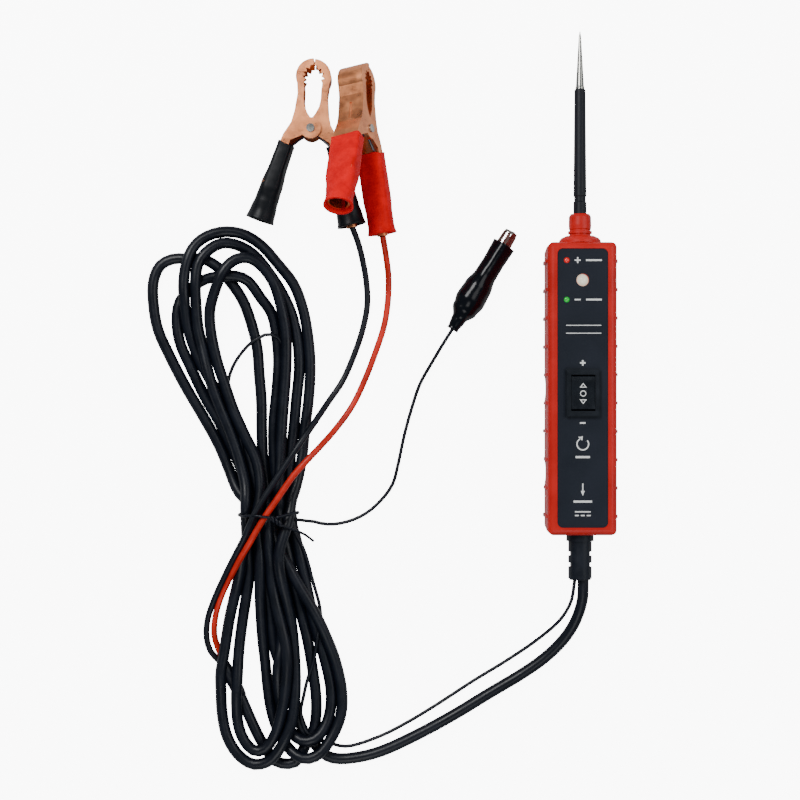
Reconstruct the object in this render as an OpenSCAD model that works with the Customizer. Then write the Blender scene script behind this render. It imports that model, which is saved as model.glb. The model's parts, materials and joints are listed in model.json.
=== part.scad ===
// Powered circuit tester: a housing with a steel probe, a hank of supply cable,
// two battery clamps and a small ground clip.
// Origin: centre of the tester's footprint, on its back face.
// +Y points along the probe to its tip, +Z out of the front face.

/* [Housing] */
// Width of the housing across its sides
body_w = 30; // [25:1:38]
// Length of the housing
body_l = 127; // [105:1:160]
// Thickness of the housing from back to front
body_t = 22; // [20.5:0.5:30]
// Thickness of the shells' walls
wall = 2; // [1.6:0.1:2.4]
// Rounding of the edges round the front
front_r = 3; // [2:0.5:4]
// Rounding of the edges round the back
back_r = 4.5; // [3.5:0.5:5.5]
// Spacing of the grip ribs along the sides
rib_pitch = 12.3; // [10:0.1:15]
// Height of a grip rib above the side
rib_h = 0.7; // [0.3:0.1:1.2]
// Width of the red rim round the label
rim_w = 4.05; // [3:0.05:5]
// Diameter of the columns that take the screws
boss_d = 5; // [4.5:0.5:6]

/* [Switch] */
// Length of the rocker switch's bezel
switch_l = 21; // [17.5:0.5:25.5]
// Width of the rocker switch's bezel
switch_w = 15; // [14:0.5:18]
// Thickness of the bezel above the label
bezel_h = 1.9; // [1.2:0.1:2.5]
// Depth of the switch body below the bezel
switch_depth = 12; // [11:0.5:13]
// Distance from the top of the housing to the switch's centre
switch_y = 65.3; // [60:0.5:75]

/* [Lights] */
// Diameter of the two indicator lamps
led_d = 3; // [2.5:0.1:3.6]
// Diameter of the white work light
light_d = 5; // [4:0.5:6]

/* [Probe] */
// Diameter of the steel probe rod
rod_d = 3.9; // [3.2:0.1:4.4]
// Length of the bare needle in front of the sleeve
needle_l = 25.4; // [20:0.1:32]
// Length of the insulating sleeve
sleeve_l = 54.7; // [45:0.1:66]
// Diameter of the sleeve where it leaves the collar
sleeve_d = 5.8; // [5.2:0.1:6.5]
// Length of the red collar in front of the housing
collar_l = 12.9; // [10.7:0.1:15.5]
// Diameter of the collar's barrel
collar_d = 9.9; // [9:0.1:12]

/* [Cables] */
// Diameter of the jacketed supply cable
cable_d = 5; // [4.2:0.1:5.6]
// Diameter of the red and black leads
lead_d = 2.8; // [2.3:0.1:3.4]
// Diameter of the thin ground lead
ground_d = 1.6; // [1.3:0.1:1.9]
// Length of the strain relief behind the housing
relief_l = 20; // [16.5:0.5:24]
// Thickness of the folded hank of cable
hank_h = 14; // [12:0.5:16]

/* [Battery clamps] */
// Width of a clamp's outer channel
clamp_w = 12; // [10:0.5:14.5]
// Thickness of the clamp's sheet metal
clamp_t = 0.9; // [0.7:0.1:1.1]
// Distance from the rivet to the tip of the jaws
jaw_l = 30.3; // [28:0.1:36.4]
// Length of a clamp's handle
handle_l = 38; // [31.5:0.5:46]
// Diameter of a handle's rolled end
handle_d = 9.8; // [8.5:0.1:11]
// Wall of the plastic sleeve on a handle
grip_t = 0.95; // [0.7:0.05:1.3]
// Diameter of the clamp's rivet
rivet_d = 2.6; // [2:0.1:3]

/* [Ground clip] */
// Width of the clip's outer channel
clip_w = 5.2; // [4.4:0.1:6.2]
// Distance from the clip's rivet to its tip
clip_jaw_l = 20; // [18:0.5:24]
// Wall of the clip's plastic boot
boot_t = 0.8; // [0.6:0.1:1]

/* [Hidden] */

$fn = 48;
slip = 0.15;        // clearance between pieces that slide together
pin_slip = 0.05;    // clearance round a pin in its hole
far = 200;          // longer than any cut

// Places along the tester, from the probe's tip to the end of the strain relief
total_l = needle_l + sleeve_l + collar_l + body_l + relief_l;
tip_y = total_l / 2;
sleeve_end_y = tip_y - needle_l;
collar_end_y = sleeve_end_y - sleeve_l;
top_y = collar_end_y - collar_l;
bottom_y = top_y - body_l;
tail_y = bottom_y - relief_l;
mid_y = (top_y + bottom_y) / 2;
split_z = body_t / 2;          // plane where the two shells meet
axis_z = body_t / 2;           // height of the probe and cable axis

// Front face, from the shell outwards
label_deep = 0.6;
label_t = 0.35;
label_w = body_w - 2 * rim_w;
label_l = body_l - 6.5;
label_r = 2.4;
label_y = mid_y + 0.25;
label_floor = body_t - label_deep;
label_top = label_floor + label_t;

// Lights and the board under them
light_x = -6.9;
red_led_y = top_y - 8.1;
green_led_y = top_y - 25.1;
work_light_y = top_y - 16.6;
light_seat = label_top - 5.4;   // top of the board, where the lights stand
board_t = 1.6;
board_l = 46;
board_w = body_w - 2 * wall - 4.4;
board_y = top_y - wall - 2.2 - board_l / 2;

// Switch
switch_cy = top_y - switch_y;
pocket_w = switch_w - 4.6;
pocket_l = switch_l - 5.4;
switch_body_w = switch_w - 2.5;
switch_body_l = switch_l - 2.2;
switch_floor = label_top - switch_depth;
pivot_z = label_top - 1;
rocker_w = pocket_w - 2 * slip;
rocker_r = pocket_l / 2 - slip;
rocker_top = label_top + bezel_h - 0.5;
rocker_hollow_r = 30;
rocker_pin_d = 2.4;
pocket_deep = 6.2;              // depth of the pocket below the pivot

// Screws that hold the shells together
boss_x = body_w / 2 - wall - boss_d / 2 - 0.4;
boss_ys = [switch_cy + switch_body_l / 2 + 2.9, bottom_y + 14];
screw_d = 2;
screw_head_d = 4;
screw_head_h = 1.5;
screw_seat = 3;

// Probe
collar_stub_d = 9;
socket_d = 6.6;
socket_l = 14;
needle_root = 10;              // length of needle hidden in the sleeve
needle_stub_d = 2.4;
needle_stub_l = 8;

// Cable entry
cable_x = 1.4;
ground_x = -2.25;
relief_d = 10.3;
relief_ring_d = 12;
relief_stub_d = 9.4;
cable_inner_end = bottom_y + 12;

// Breaker
breaker_w = 9;
breaker_l = 15;
breaker_h = 6.5;
breaker_y = bottom_y + 27;
breaker_z = wall + 0.1;

// Battery clamps, in a frame with the rivet at the origin, jaws to +Y and the pivot along Z
head_r = 7.7;
head_y = jaw_l - head_r;
mouth_r = 4.9;
tooth_h = 1.4;
ear_r = 4.6;
inner_w = clamp_w - 2 * (clamp_t + slip);   // width of the channel that nests in the other
handle_top = [-9.4, -3];
handle_depth = 4.4;
handle_turn = 16;
handle_mid = 3.7;                  // half depth of the channel where the barrel starts
barrel_y = -0.62 * handle_l;       // start of the rolled barrel
seam = 24;                         // angle left open along the barrel's seam
crimp_d = 4.6;
crimp_l = 9;
crimp_out = 2.5;                   // length of the crimp that shows past the handle
spring_wire = 1.2;
spring_r = rivet_d / 2 + 0.35 + spring_wire / 2;
rivet_head_d = 3.6;
rivet_head_h = 0.6;
black_place = [-117.9, 77.5, 7.4];
black_turn = [0, 0, -3.3];
red_place = [-96.7, 75.6, 15.4];
red_roll = 64;
red_pitch = -13.5;
red_yaw = 1.6;

// Ground clip, in a frame like the clamps'
clip_t = 0.45;
clip_inner_w = clip_w - 2 * (clip_t + 0.1);
clip_rivet_d = 1.6;
clip_handle_y = -15.5;
boot_front_y = clip_jaw_l - 6.5;
boot_back_y = boot_front_y - 43.7;
boot_front = [9.8, 8.2];
boot_bulge = [13, 9.6];
boot_bulge_y = -15.5;
boot_neck_d = 4.6;
clip_place = [-40, 15.4, 6.8];
clip_roll = 50;
clip_yaw = -31.5;

// Routes of the cords, from one end to the other, as laid for a tester whose tail is at -120
main_route = [[cable_x, -120, axis_z], [cable_x, -122, axis_z], [1.2, -129, 9.8],
    [-1.5, -138.5, 7.6], [-6.5, -147, 5.4], [-14.5, -155.3, 3.6], [-24.5, -162.6, 2.6],
    [-38.6, -171, 2.6], [-54.9, -180.9, 2.6], [-71.3, -189.8, 2.6], [-87.6, -197.2, 2.6],
    [-98, -199.8, 2.6], [-106.1, -200.3, 2.6], [-112, -199, 2.6]];
ground_feed_route = [[ground_x, -120, axis_z], [-3.8, -129.8, 10], [-8.2, -138, 7.4],
    [-17.3, -146.7, 4.4], [-30.4, -156.3, 1.6], [-46.8, -166.5, 0.9], [-63.1, -177.1, 0.9],
    [-75.4, -184.5, 0.9], [-87.6, -190.7, 0.9], [-101.8, -195.2, 0.9], [-107.5, -194.6, 0.9],
    [-111.5, -193, 0.9]];
ground_tail_route = [[-125, -92.5, 7.5], [-120, -94, 4.6], [-115, -95.9, 1.8],
    [-109.5, -96.6, 0.9], [-102.4, -95.5, 0.9], [-94.3, -92, 0.9], [-87.2, -85.9, 0.9],
    [-82.1, -78.8, 0.9], [-79.6, -69.7, 0.9], [-77, -57.5, 0.9], [-74, -46.4, 0.9],
    [-69.9, -34.2, 1.2], [-65, -25.4, 2.6], [-60.5, -17.8, 4.8], [-56.2, -10.9, 6.8]];
black_route = [[-99.8, 34.5, 7.4], [-97.4, 28.4, 5.8], [-95.6, 21.6, 3.2], [-93.8, 11.5, 1.5],
    [-93.3, 1.3, 1.5], [-95.3, -9.8, 1.5], [-99.4, -22, 1.5], [-104.4, -33.2, 1.8],
    [-110.5, -42.3, 4.5], [-117.4, -53, 11.5], [-122.5, -60.5, 15.2], [-128.4, -69.4, 15.7],
    [-135.9, -80.9, 15.7], [-142, -91, 15.7], [-146.7, -101.5, 15.2], [-151.8, -111, 11.5],
    [-157, -121, 6.4], [-161.4, -130.5, 2.8], [-164.2, -138.8, 1.5], [-164.7, -146.7, 1.5],
    [-162.8, -153.1, 1.5], [-158.3, -158, 1.5]];
red_route = [[-86.4, 30.8, 7.2], [-85.6, 26.2, 5.2], [-84.8, 21.2, 2.8], [-83.9, 13.5, 1.5],
    [-84.1, 3.4, 1.5], [-85.7, -7.8, 1.5], [-89.2, -18.9, 1.5], [-94.3, -32.2, 1.5],
    [-99.9, -43.9, 2], [-107.5, -54.6, 6.4], [-113.5, -61.5, 12], [-118.4, -66.8, 15.2],
    [-124.6, -73.6, 15.7], [-131.8, -83.8, 15.7], [-138.7, -94, 15.7], [-144.5, -104, 15.2],
    [-149.4, -112, 11.5], [-154.2, -120.6, 6.4], [-158.2, -129, 2.8], [-160.8, -137.9, 1.5],
    [-161.2, -146, 1.5], [-158.9, -153.2, 1.5]];
back = [0, tail_y + 120, 0];     // how far the cords move with the tester's tail
hank_top = [-155, -1, 36];       // centre and radius of the hank's upper lobe
hank_low = [-131, -176.5, 28];   // centre and radius of its lower lobe
waist_y = -92;
waist_w = 27;
waist_x = -136.5;
tie_d = 1.6;

// ---------- shared shapes ----------

function unit(v) = v / norm(v);
function arc(c, r, a0, a1, n) = [for (i = [0:n]) let (a = a0 + (a1 - a0) * i / n)
    [c[0] + r * cos(a), c[1] + r * sin(a)]];
function rounded_outline(w, h, r) = concat(
    arc([w / 2 - r, h / 2 - r], r, 0, 90, 8), arc([r - w / 2, h / 2 - r], r, 90, 180, 8),
    arc([r - w / 2, r - h / 2], r, 180, 270, 8), arc([w / 2 - r, r - h / 2], r, 270, 360, 8));
function heading(p, i) = unit(p[min(i + 1, len(p) - 1)] - p[max(i - 1, 0)]);
function ring_round(p, i, r, n) = let (t = heading(p, i), s = unit(cross(t, [0.001, 0, 1])),
    u = cross(s, t)) [for (k = [0:n - 1]) p[i] + r * (cos(360 * k / n) * s + sin(360 * k / n) * u)];

// A round tube along a list of points
module tube(p, d, n = 8) {
    polyhedron(
        points = [for (i = [0:len(p) - 1]) each ring_round(p, i, d / 2, n)],
        faces = concat(
            [[for (k = [n - 1:-1:0]) k]],
            [for (i = [0:len(p) - 2], k = [0:n - 1]) let (j = (k + 1) % n)
                each [[i * n + j, (i + 1) * n + j, (i + 1) * n + k],
                    [i * n + j, (i + 1) * n + k, i * n + k]]],
            [[for (k = [0:n - 1]) (len(p) - 1) * n + k]]));
}

// A flat plate with rounded corners, standing on z
module plate(w, l, h, r, x = 0, y = 0, z = 0) {
    translate([x, y, z]) linear_extrude(h) polygon(rounded_outline(w, l, r));
}

// A round bar along Y, from y0 to y1
module y_bar(d, y0, y1, x = 0, z = axis_z) {
    translate([x, y0, z]) rotate([-90, 0, 0]) cylinder(d = d, h = y1 - y0);
}

// A block from one corner to the other
module block(a, b) {
    translate(a) cube(b - a);
}

// ---------- housing ----------

// The housing's outside, or its inside when inset is the wall: a bar rounded in all three views
module body_form(r, inset) {
    w = body_w - 2 * inset;
    l = body_l - 2 * inset;
    t = body_t - 2 * inset;
    round_r = max(r - inset, 0.4);
    translate([0, mid_y, body_t / 2]) intersection() {
        linear_extrude(t, center = true) polygon(rounded_outline(w, l, round_r));
        rotate([90, 0, 0]) linear_extrude(l, center = true) polygon(rounded_outline(w, t, round_r));
        rotate([0, 90, 0]) linear_extrude(w, center = true) polygon(rounded_outline(t, l, round_r));
    }
}

// The thin rings that stand up from the sides
module grip_ribs() {
    count = floor((body_l - 12) / rib_pitch) + 1;
    for (i = [0:count - 1])
        translate([0, top_y - 8.2 - i * rib_pitch, body_t / 2]) rotate([90, 0, 0])
            linear_extrude(1.3, center = true)
                polygon(rounded_outline(body_w + 2 * rib_h, body_t - 2.4, back_r - 0.8));
}

module boss_places() {
    for (sx = [-1, 1], y = boss_ys) translate([sx * boss_x, y, 0]) children();
}

module front_housing() {
    color("firebrick") difference() {
        union() {
            difference() {
                union() {
                    body_form(front_r, 0);
                    grip_ribs();
                }
                body_form(front_r, wall);
            }
            boss_places() translate([0, 0, split_z]) cylinder(d = boss_d, h = label_floor - 1 - split_z);
        }
        block([-far, -far, -far], [far, far, split_z]);
        plate(label_w, label_l, far, label_r, 0, label_y, label_floor);
        boss_places() translate([0, 0, split_z - 1]) cylinder(d = screw_d - 0.1, h = 7);
        light_holes(led_d + 2 * slip, light_d + 2 * slip);
        plate(switch_body_w + 0.4, switch_body_l + 0.4, far, 0.6, 0, switch_cy, split_z);
        end_holes();
    }
}

module light_holes(small, large) {
    for (y = [red_led_y, green_led_y])
        translate([light_x, y, split_z]) cylinder(d = small, h = far);
    translate([0, work_light_y, split_z]) cylinder(d = large, h = far);
}

// The round openings for the collar and the strain relief
module end_holes() {
    y_bar(collar_stub_d + 0.2, top_y - wall - 1, top_y + 1);
    y_bar(relief_stub_d + 0.2, bottom_y - 1, bottom_y + wall + 1);
}

// Shallow finger scallops in both sides of the back shell
module finger_scallops() {
    scoop_r = 24;
    for (sx = [-1, 1], y = [switch_cy + 2, switch_cy - 35])
        translate([sx * (body_w / 2 + scoop_r - 0.7), y, 2]) cylinder(r = scoop_r, h = split_z - 4);
}

module rear_housing() {
    color("firebrick") difference() {
        union() {
            difference() {
                union() {
                    body_form(back_r, 0);
                    grip_ribs();
                }
                body_form(back_r, wall);
            }
            boss_places() translate([0, 0, wall / 2]) cylinder(d = boss_d, h = split_z - wall / 2);
        }
        block([-far, -far, split_z], [far, far, far]);
        boss_places() translate([0, 0, -1]) cylinder(d = screw_d + 0.3, h = far);
        boss_places() translate([0, 0, -1]) cylinder(d = screw_head_d + 0.4, h = screw_seat + 1);
        finger_scallops();
        end_holes();
    }
}

module front_label() {
    color([0.09, 0.09, 0.11]) difference() {
        plate(label_w - 0.2, label_l - 0.2, label_t, label_r - 0.1, 0, label_y, label_floor);
        light_holes(led_d - 0.5, light_d + 0.4);
        plate(switch_body_w + 0.6, switch_body_l + 0.6, far, 0.6, 0, switch_cy, split_z);
    }
}

module housing_screws() {
    color("silver") boss_places() difference() {
        union() {
            translate([0, 0, screw_seat - screw_head_h]) cylinder(d = screw_head_d, h = screw_head_h);
            translate([0, 0, screw_seat]) cylinder(d = screw_d - 0.1, h = split_z + 5 - screw_seat);
        }
        for (a = [0, 90]) rotate(a) block([-1.2, -0.25, 0], [1.2, 0.25, screw_seat - 0.6]);
    }
}

// ---------- switch ----------

module switch_body() {
    color([0.1, 0.1, 0.11]) difference() {
        union() {
            plate(switch_w, switch_l, bezel_h - 0.6, 0.8, 0, switch_cy, label_top);
            plate(switch_w - 1, switch_l - 1, 0.6, 0.6, 0, switch_cy, label_top + bezel_h - 0.6);
            plate(switch_body_w, switch_body_l, switch_depth, 0.4, 0, switch_cy, switch_floor);
        }
        block([-pocket_w / 2, switch_cy - pocket_l / 2, pivot_z - pocket_deep],
            [pocket_w / 2, switch_cy + pocket_l / 2, far]);
        rocker_pin(rocker_pin_d + 2 * pin_slip, switch_w);
    }
}

module rocker_pin(d, w) {
    translate([-w / 2, switch_cy, pivot_z]) rotate([0, 90, 0]) cylinder(d = d, h = w);
}

module rocker_button() {
    color([0.13, 0.13, 0.14]) union() {
        difference() {
            translate([-rocker_w / 2, switch_cy, pivot_z]) rotate([0, 90, 0])
                cylinder(r = rocker_r, h = rocker_w, $fn = 96);
            block([-far, -far, -far], [far, far, pivot_z - 4.5]);
            translate([-far / 2, switch_cy, rocker_top + rocker_hollow_r]) rotate([0, 90, 0])
                cylinder(r = rocker_hollow_r, h = far, $fn = 180);
            block([-far, -far, rocker_top + 1.2], [far, far, far]);
        }
        rocker_pin(rocker_pin_d, switch_body_w - 0.5);
    }
}

module switch_terminals() {
    color("goldenrod") for (i = [-1, 0, 1])
        block([-2.4, switch_cy + i * 6 - 0.4, wall + 1.2], [2.4, switch_cy + i * 6 + 0.4, switch_floor]);
}

// ---------- lights and electronics ----------

// A lamp with a domed lens, standing on the board
module lamp(d, h) {
    union() {
        cylinder(d = d + 0.8, h = 0.8);
        cylinder(d = d, h = h - d / 2);
        translate([0, 0, h - d / 2]) sphere(d = d);
    }
}

module red_led() {
    color("red") translate([light_x, red_led_y, light_seat]) lamp(led_d, 5.6);
}

module green_led() {
    color("limegreen") translate([light_x, green_led_y, light_seat]) lamp(led_d, 5.6);
}

module work_light() {
    color("white") translate([0, work_light_y, light_seat]) lamp(light_d, 6.6);
}

module circuit_board() {
    color("darkgreen") plate(board_w, board_l, board_t, 2.2, 0, board_y, light_seat - board_t);
}

// Resistors, transistors and a capacitor on the back of the board
module board_parts() {
    under = light_seat - board_t;
    color("tan") {
        for (i = [0:4])
            block([-8, board_y - 17 + i * 3.6, under - 2.2], [-1.5, board_y - 15.2 + i * 3.6, under]);
        for (i = [0, 1]) block([2.5, board_y - 17 + i * 8, under - 4], [7, board_y - 12.5 + i * 8, under]);
        translate([3.8, board_y + 3.5, under - 5.5]) cylinder(d = 5, h = 5.5);
    }
}

module thermal_breaker() {
    tab_y = breaker_y + breaker_l / 2;
    color([0.16, 0.16, 0.18]) union() {
        plate(breaker_w, breaker_l, breaker_h, 1, 0, breaker_y, breaker_z);
        for (x = [-3.4, 1.4]) block([x, tab_y - 1, breaker_z + 2], [x + 2, tab_y + 4, breaker_z + 2.8]);
    }
}

// The bridge that grips the cable behind its strain relief
module cable_anchor() {
    y = bottom_y + 7;
    color([0.2, 0.2, 0.22]) difference() {
        block([-7, y - 2, axis_z - 1], [7.5, y + 2, axis_z + 4]);
        y_bar(cable_d + 0.1, y - 3, y + 3, cable_x);
        y_bar(ground_d + 0.1, y - 3, y + 3, ground_x);
    }
}

// ---------- probe ----------

// A shape turned about the probe's axis, from its half outline of radius and y
module turned(outline) {
    translate([0, 0, axis_z]) rotate([-90, 0, 0]) rotate_extrude($fn = 64) polygon(outline);
}

module probe_collar() {
    y = top_y;
    bore = rod_d / 2 + pin_slip;
    stub = collar_stub_d / 2;
    barrel = collar_d / 2;
    color("firebrick") turned([[bore, y - wall - 1.6], [stub + 1.5, y - wall - 1.6],
        [stub + 1.5, y - wall - 0.1], [stub, y - wall - 0.1], [stub, y + 0.02], [9.1, y + 0.02],
        [9.1, y + 1.3], [8.2, y + 2.4], [6.2, y + 3.3], [4.6, y + 3.6], [4.6, y + 4.1],
        [barrel + 0.3, y + 4.3], [barrel + 0.3, y + 5.4], [4.6, y + 5.6], [4.6, y + 6],
        [barrel - 0.1, y + 6.3], [barrel, y + 8], [barrel - 0.1, y + collar_l - 1.2],
        [barrel - 0.8, y + collar_l], [bore, y + collar_l]]);
}

module probe_socket() {
    color("gold") difference() {
        y_bar(socket_d, top_y - wall - 1.7 - socket_l, top_y - wall - 1.7);
        y_bar(rod_d + 2 * pin_slip, top_y - wall - socket_l + 2, top_y);
    }
}

module probe_rod() {
    color("silver") difference() {
        y_bar(rod_d, top_y - wall - socket_l + 2.2, sleeve_end_y - needle_root);
        y_bar(needle_stub_d + 2 * pin_slip, sleeve_end_y - needle_root - needle_stub_l - 0.4,
            sleeve_end_y);
    }
}

module probe_needle() {
    y = sleeve_end_y;
    color("silver") turned([[0, y - needle_root - needle_stub_l],
        [needle_stub_d / 2, y - needle_root - needle_stub_l], [needle_stub_d / 2, y - needle_root],
        [rod_d / 2, y - needle_root], [rod_d / 2, y + 1], [rod_d / 2 - 0.15, y + 1.4],
        [0.55, tip_y - 2.2], [0.12, tip_y], [0, tip_y]]);
}

module probe_insulator() {
    y = collar_end_y;
    r = sleeve_d / 2;
    bore = rod_d / 2 + pin_slip;
    color([0.07, 0.07, 0.08]) turned([[bore, y], [r, y], [r - 0.05, y + 5.2], [r - 0.35, y + 5.6],
        [r - 0.35, y + 7.6], [r - 0.05, y + 8], [r - 0.45, sleeve_end_y - 0.4],
        [r - 0.7, sleeve_end_y], [bore, sleeve_end_y]]);
}

// ---------- cable entry ----------

module strain_relief() {
    stub = relief_stub_d / 2;
    d = relief_d;
    y = bottom_y;
    color([0.08, 0.08, 0.09]) difference() {
        union() {
            y_bar(relief_stub_d + 3, y + wall + 0.1, y + wall + 1.6);
            y_bar(2 * stub, y, y + wall + 0.1);
            y_bar(relief_ring_d, y - 3, y);
            y_bar(d, tail_y + 0.6, y - 3);
            y_bar(d - 1, tail_y, tail_y + 0.6);
        }
        y_bar(cable_d + 0.1, tail_y - 1, y + wall + 3, cable_x);
        y_bar(ground_d + 0.1, tail_y - 1, y + wall + 3, ground_x);
        for (i = [0, 1], sx = [-1, 1]) relief_slot(y - 8.6 - i * 4.8, sx);
    }
}

// One square slot across the strain relief's side
module relief_slot(y, sx) {
    translate([sx * relief_d / 2, y, axis_z]) cube([2.2, 2, relief_d + 2], center = true);
}

module cable_end() {
    color([0.1, 0.1, 0.11]) y_bar(cable_d, tail_y, cable_inner_end, cable_x);
}

module ground_lead_end() {
    route = [[ground_x, tail_y, axis_z], [ground_x, bottom_y, axis_z],
        [ground_x, bottom_y + 13, axis_z], [-6.5, bottom_y + 22, axis_z - 2],
        [-6.5, switch_cy - 12, axis_z - 3], [-6.5, switch_cy + 6, axis_z - 3],
        [-6.5, board_y - board_l / 2 + 2, light_seat - board_t - 1.2]];
    color([0.1, 0.1, 0.11]) tube(route, ground_d);
}

module red_wire() {
    z = breaker_z + 3.8;
    color("red") {
        tube([[cable_x + 1.2, cable_inner_end + 0.3, axis_z], [3, cable_inner_end + 3, axis_z],
            [7.2, breaker_y - 6, axis_z - 0.4], [7.4, breaker_y + 6, z + 1],
            [2.6, breaker_y + 9.8, z]], 1.8);
        tube([[-2.4, breaker_y + 10.5, z], [-2, breaker_y + 13, z + 0.4],
            [0, switch_cy - 7.3, z + 1]], 1.8);
    }
}

module black_wire() {
    color([0.1, 0.1, 0.11]) tube([[cable_x - 1.2, cable_inner_end + 0.6, axis_z],
        [-1, cable_inner_end + 4, axis_z + 2], [4, breaker_y, axis_z + 4], [9, breaker_y + 14, axis_z],
        [9, switch_cy - 2, axis_z - 3], [7, switch_cy + 4, axis_z - 5],
        [3.4, switch_cy + 6, axis_z - 5]], 1.8);
}

module probe_wire() {
    back = top_y - wall - 1.7 - socket_l;
    color("white") tube([[0, back - 0.4, axis_z], [0, back - 4, axis_z - 1.5],
        [-3, back - 12, 6], [-5, switch_cy + 16, 5.6], [-5.8, switch_cy + 6, 5.6],
        [-3.4, switch_cy, 6]], 1.8);
}

// ---------- cords ----------

module main_cable() {
    color([0.1, 0.1, 0.11]) translate(back) tube(main_route, cable_d);
}

module ground_lead_feed() {
    color([0.1, 0.1, 0.11]) translate(back) tube(ground_feed_route, ground_d);
}

module ground_lead_tail() {
    color([0.1, 0.1, 0.11]) translate(back) tube(ground_tail_route, ground_d);
}

module black_lead() {
    color([0.1, 0.1, 0.11]) translate(back) tube(black_route, lead_d);
}

module red_lead() {
    color("orangered") translate(back) tube(red_route, lead_d);
}

// The folded cable: two round lobes that meet at a waist
module cable_hank() {
    outline = concat(arc(hank_top, hank_top[2], -20, 205, 30), [[waist_x - waist_w / 2, waist_y]],
        arc(hank_low, hank_low[2], 170, 375, 26), [[waist_x + waist_w / 2, waist_y]]);
    color([0.1, 0.1, 0.11]) translate(back) linear_extrude(hank_h) polygon(outline);
}

// The wire tie round the waist and over the two leads
module hank_tie() {
    over = lead_d + 0.4;
    w = waist_w + 2;
    color([0.06, 0.06, 0.07]) translate(back) {
        translate([waist_x, waist_y + tie_d / 2, 0]) rotate([90, 0, 0]) linear_extrude(tie_d)
            difference() {
                translate([0, (hank_h + over) / 2]) polygon(rounded_outline(w, hank_h + over, 5));
                translate([0, (hank_h + over) / 2])
                    polygon(rounded_outline(w - 2 * tie_d, hank_h + over - 2 * tie_d, 4));
            }
        tube([[-131, waist_y - tie_d - 0.1, hank_h + 2.6], [-128, waist_y - 4, hank_h + 2],
            [-121.5, waist_y - 7.5, hank_h - 1], [-117, waist_y - 11.5, hank_h - 3.5]], tie_d);
    }
}

// ---------- battery clamps ----------

// A point of the handle's own frame, carried into the clamp's
function at_grip(p) = handle_top + [p[0] * cos(handle_turn) - p[1] * sin(-handle_turn),
    p[0] * sin(-handle_turn) + p[1] * cos(handle_turn)];

// Outer edge of a half, the half that lies at negative x, from its tip to the rolled barrel.
// t moves it in by the metal's thickness.
function outer_edge(t) = concat(
    arc([0, head_y], head_r - t, 92, 205, 22),
    [[-6.5 + t, head_y - 8], [-7.4 + t, 7], [-8.6 + t, 2]],
    [at_grip([t - handle_depth / 2, -1]), at_grip([t - handle_mid, barrel_y])]);

// Inner edge of a half's side plates, from the barrel back to the tip, with the teeth round the mouth
function inner_edge() = concat(
    [at_grip([handle_mid - 1.5, barrel_y]), at_grip([handle_depth / 2 - 0.6, -2.5])],
    [[-4, -3.6], [0, -1], [-0.15, 4.3], [-1.7, 6.4], [-3.1, 9.4], [-3.7, 12.5], [-3.7, head_y - 5.6]],
    [for (i = [0:8]) let (a = 215 - i * 13.5, r = mouth_r - (i % 2) * tooth_h)
        [r * cos(a), head_y + r * sin(a)]],
    [[-0.15, head_y + mouth_r]]);

function reversed(list) = [for (i = [len(list) - 1:-1:0]) list[i]];

// The room a handle takes: flat where it leaves the head, round at its end.
// grow is added all round, w is the channel's width and reach runs the round end on.
module handle_form(w, grow, reach) {
    hull() {
        handle_section(handle_depth + 2 * grow, w + 2 * grow, 0);
        handle_section(2 * handle_mid + 2 * grow, w + 2 * grow, barrel_y);
        translate([0, -handle_l, 0]) rotate([90, 0, 0])
            cylinder(d = handle_d + 2 * grow, h = reach, $fn = 32);
    }
}

module handle_section(depth, w, y) {
    translate([0, y, 0]) rotate([90, 0, 0]) linear_extrude(0.1, center = true)
        polygon(rounded_outline(depth, w, 0.8));
}

// The slit, slightly flared barrel at a handle's end, and the tongue that joins it to the channel
module handle_barrel() {
    h = handle_l + barrel_y - 0.3;
    block([0.1 - handle_mid, barrel_y - 2.3, -1.8], [clamp_t - 0.1 - handle_mid, barrel_y + 1.2, 1.8]);
    translate([0, barrel_y - 0.3, 0]) rotate([90, 0, 0]) rotate([0, 0, seam / 2])
        rotate_extrude(angle = 360 - seam)
            polygon([[handle_mid - clamp_t, 0], [handle_mid, 0], [handle_d / 2, h],
                [handle_d / 2 - clamp_t, h]]);
}

module at_handle() {
    translate([handle_top[0], handle_top[1], 0]) rotate([0, 0, -handle_turn]) children();
}

// One half of a clamp, on the negative side: jaw, ears and handle
module clamp_half(w) {
    color("chocolate") difference() {
        union() {
            for (z = [-w / 2, w / 2 - clamp_t]) translate([0, 0, z]) linear_extrude(clamp_t) {
                polygon(concat(outer_edge(0), inner_edge()));
                circle(r = ear_r);
            }
            translate([0, 0, -w / 2]) linear_extrude(w)
                polygon(concat(outer_edge(0), reversed(outer_edge(clamp_t))));
            at_handle() handle_barrel();
        }
        cylinder(d = rivet_d + 2 * pin_slip, h = far, center = true);
        // the groove pressed into the back
        translate([-8.36, 3, 0]) rotate([-90, 0, -10.1]) cylinder(d = 1.1, h = 8);
    }
}

// The plastic sleeve on a handle
module clamp_grip(w) {
    at_handle() difference() {
        intersection() {
            handle_form(w, slip + grip_t, 1.6);
            block([-far, -far, -far], [far, -4.5, far]);
        }
        handle_form(w, slip, 3);
    }
}

module clamp_rivet() {
    h = clamp_w + 2 * pin_slip;
    color("silver") union() {
        cylinder(d = rivet_d, h = h, center = true);
        for (z = [-h / 2 - rivet_head_h, h / 2])
            translate([0, 0, z]) cylinder(d = rivet_head_d, h = rivet_head_h);
    }
}

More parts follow.
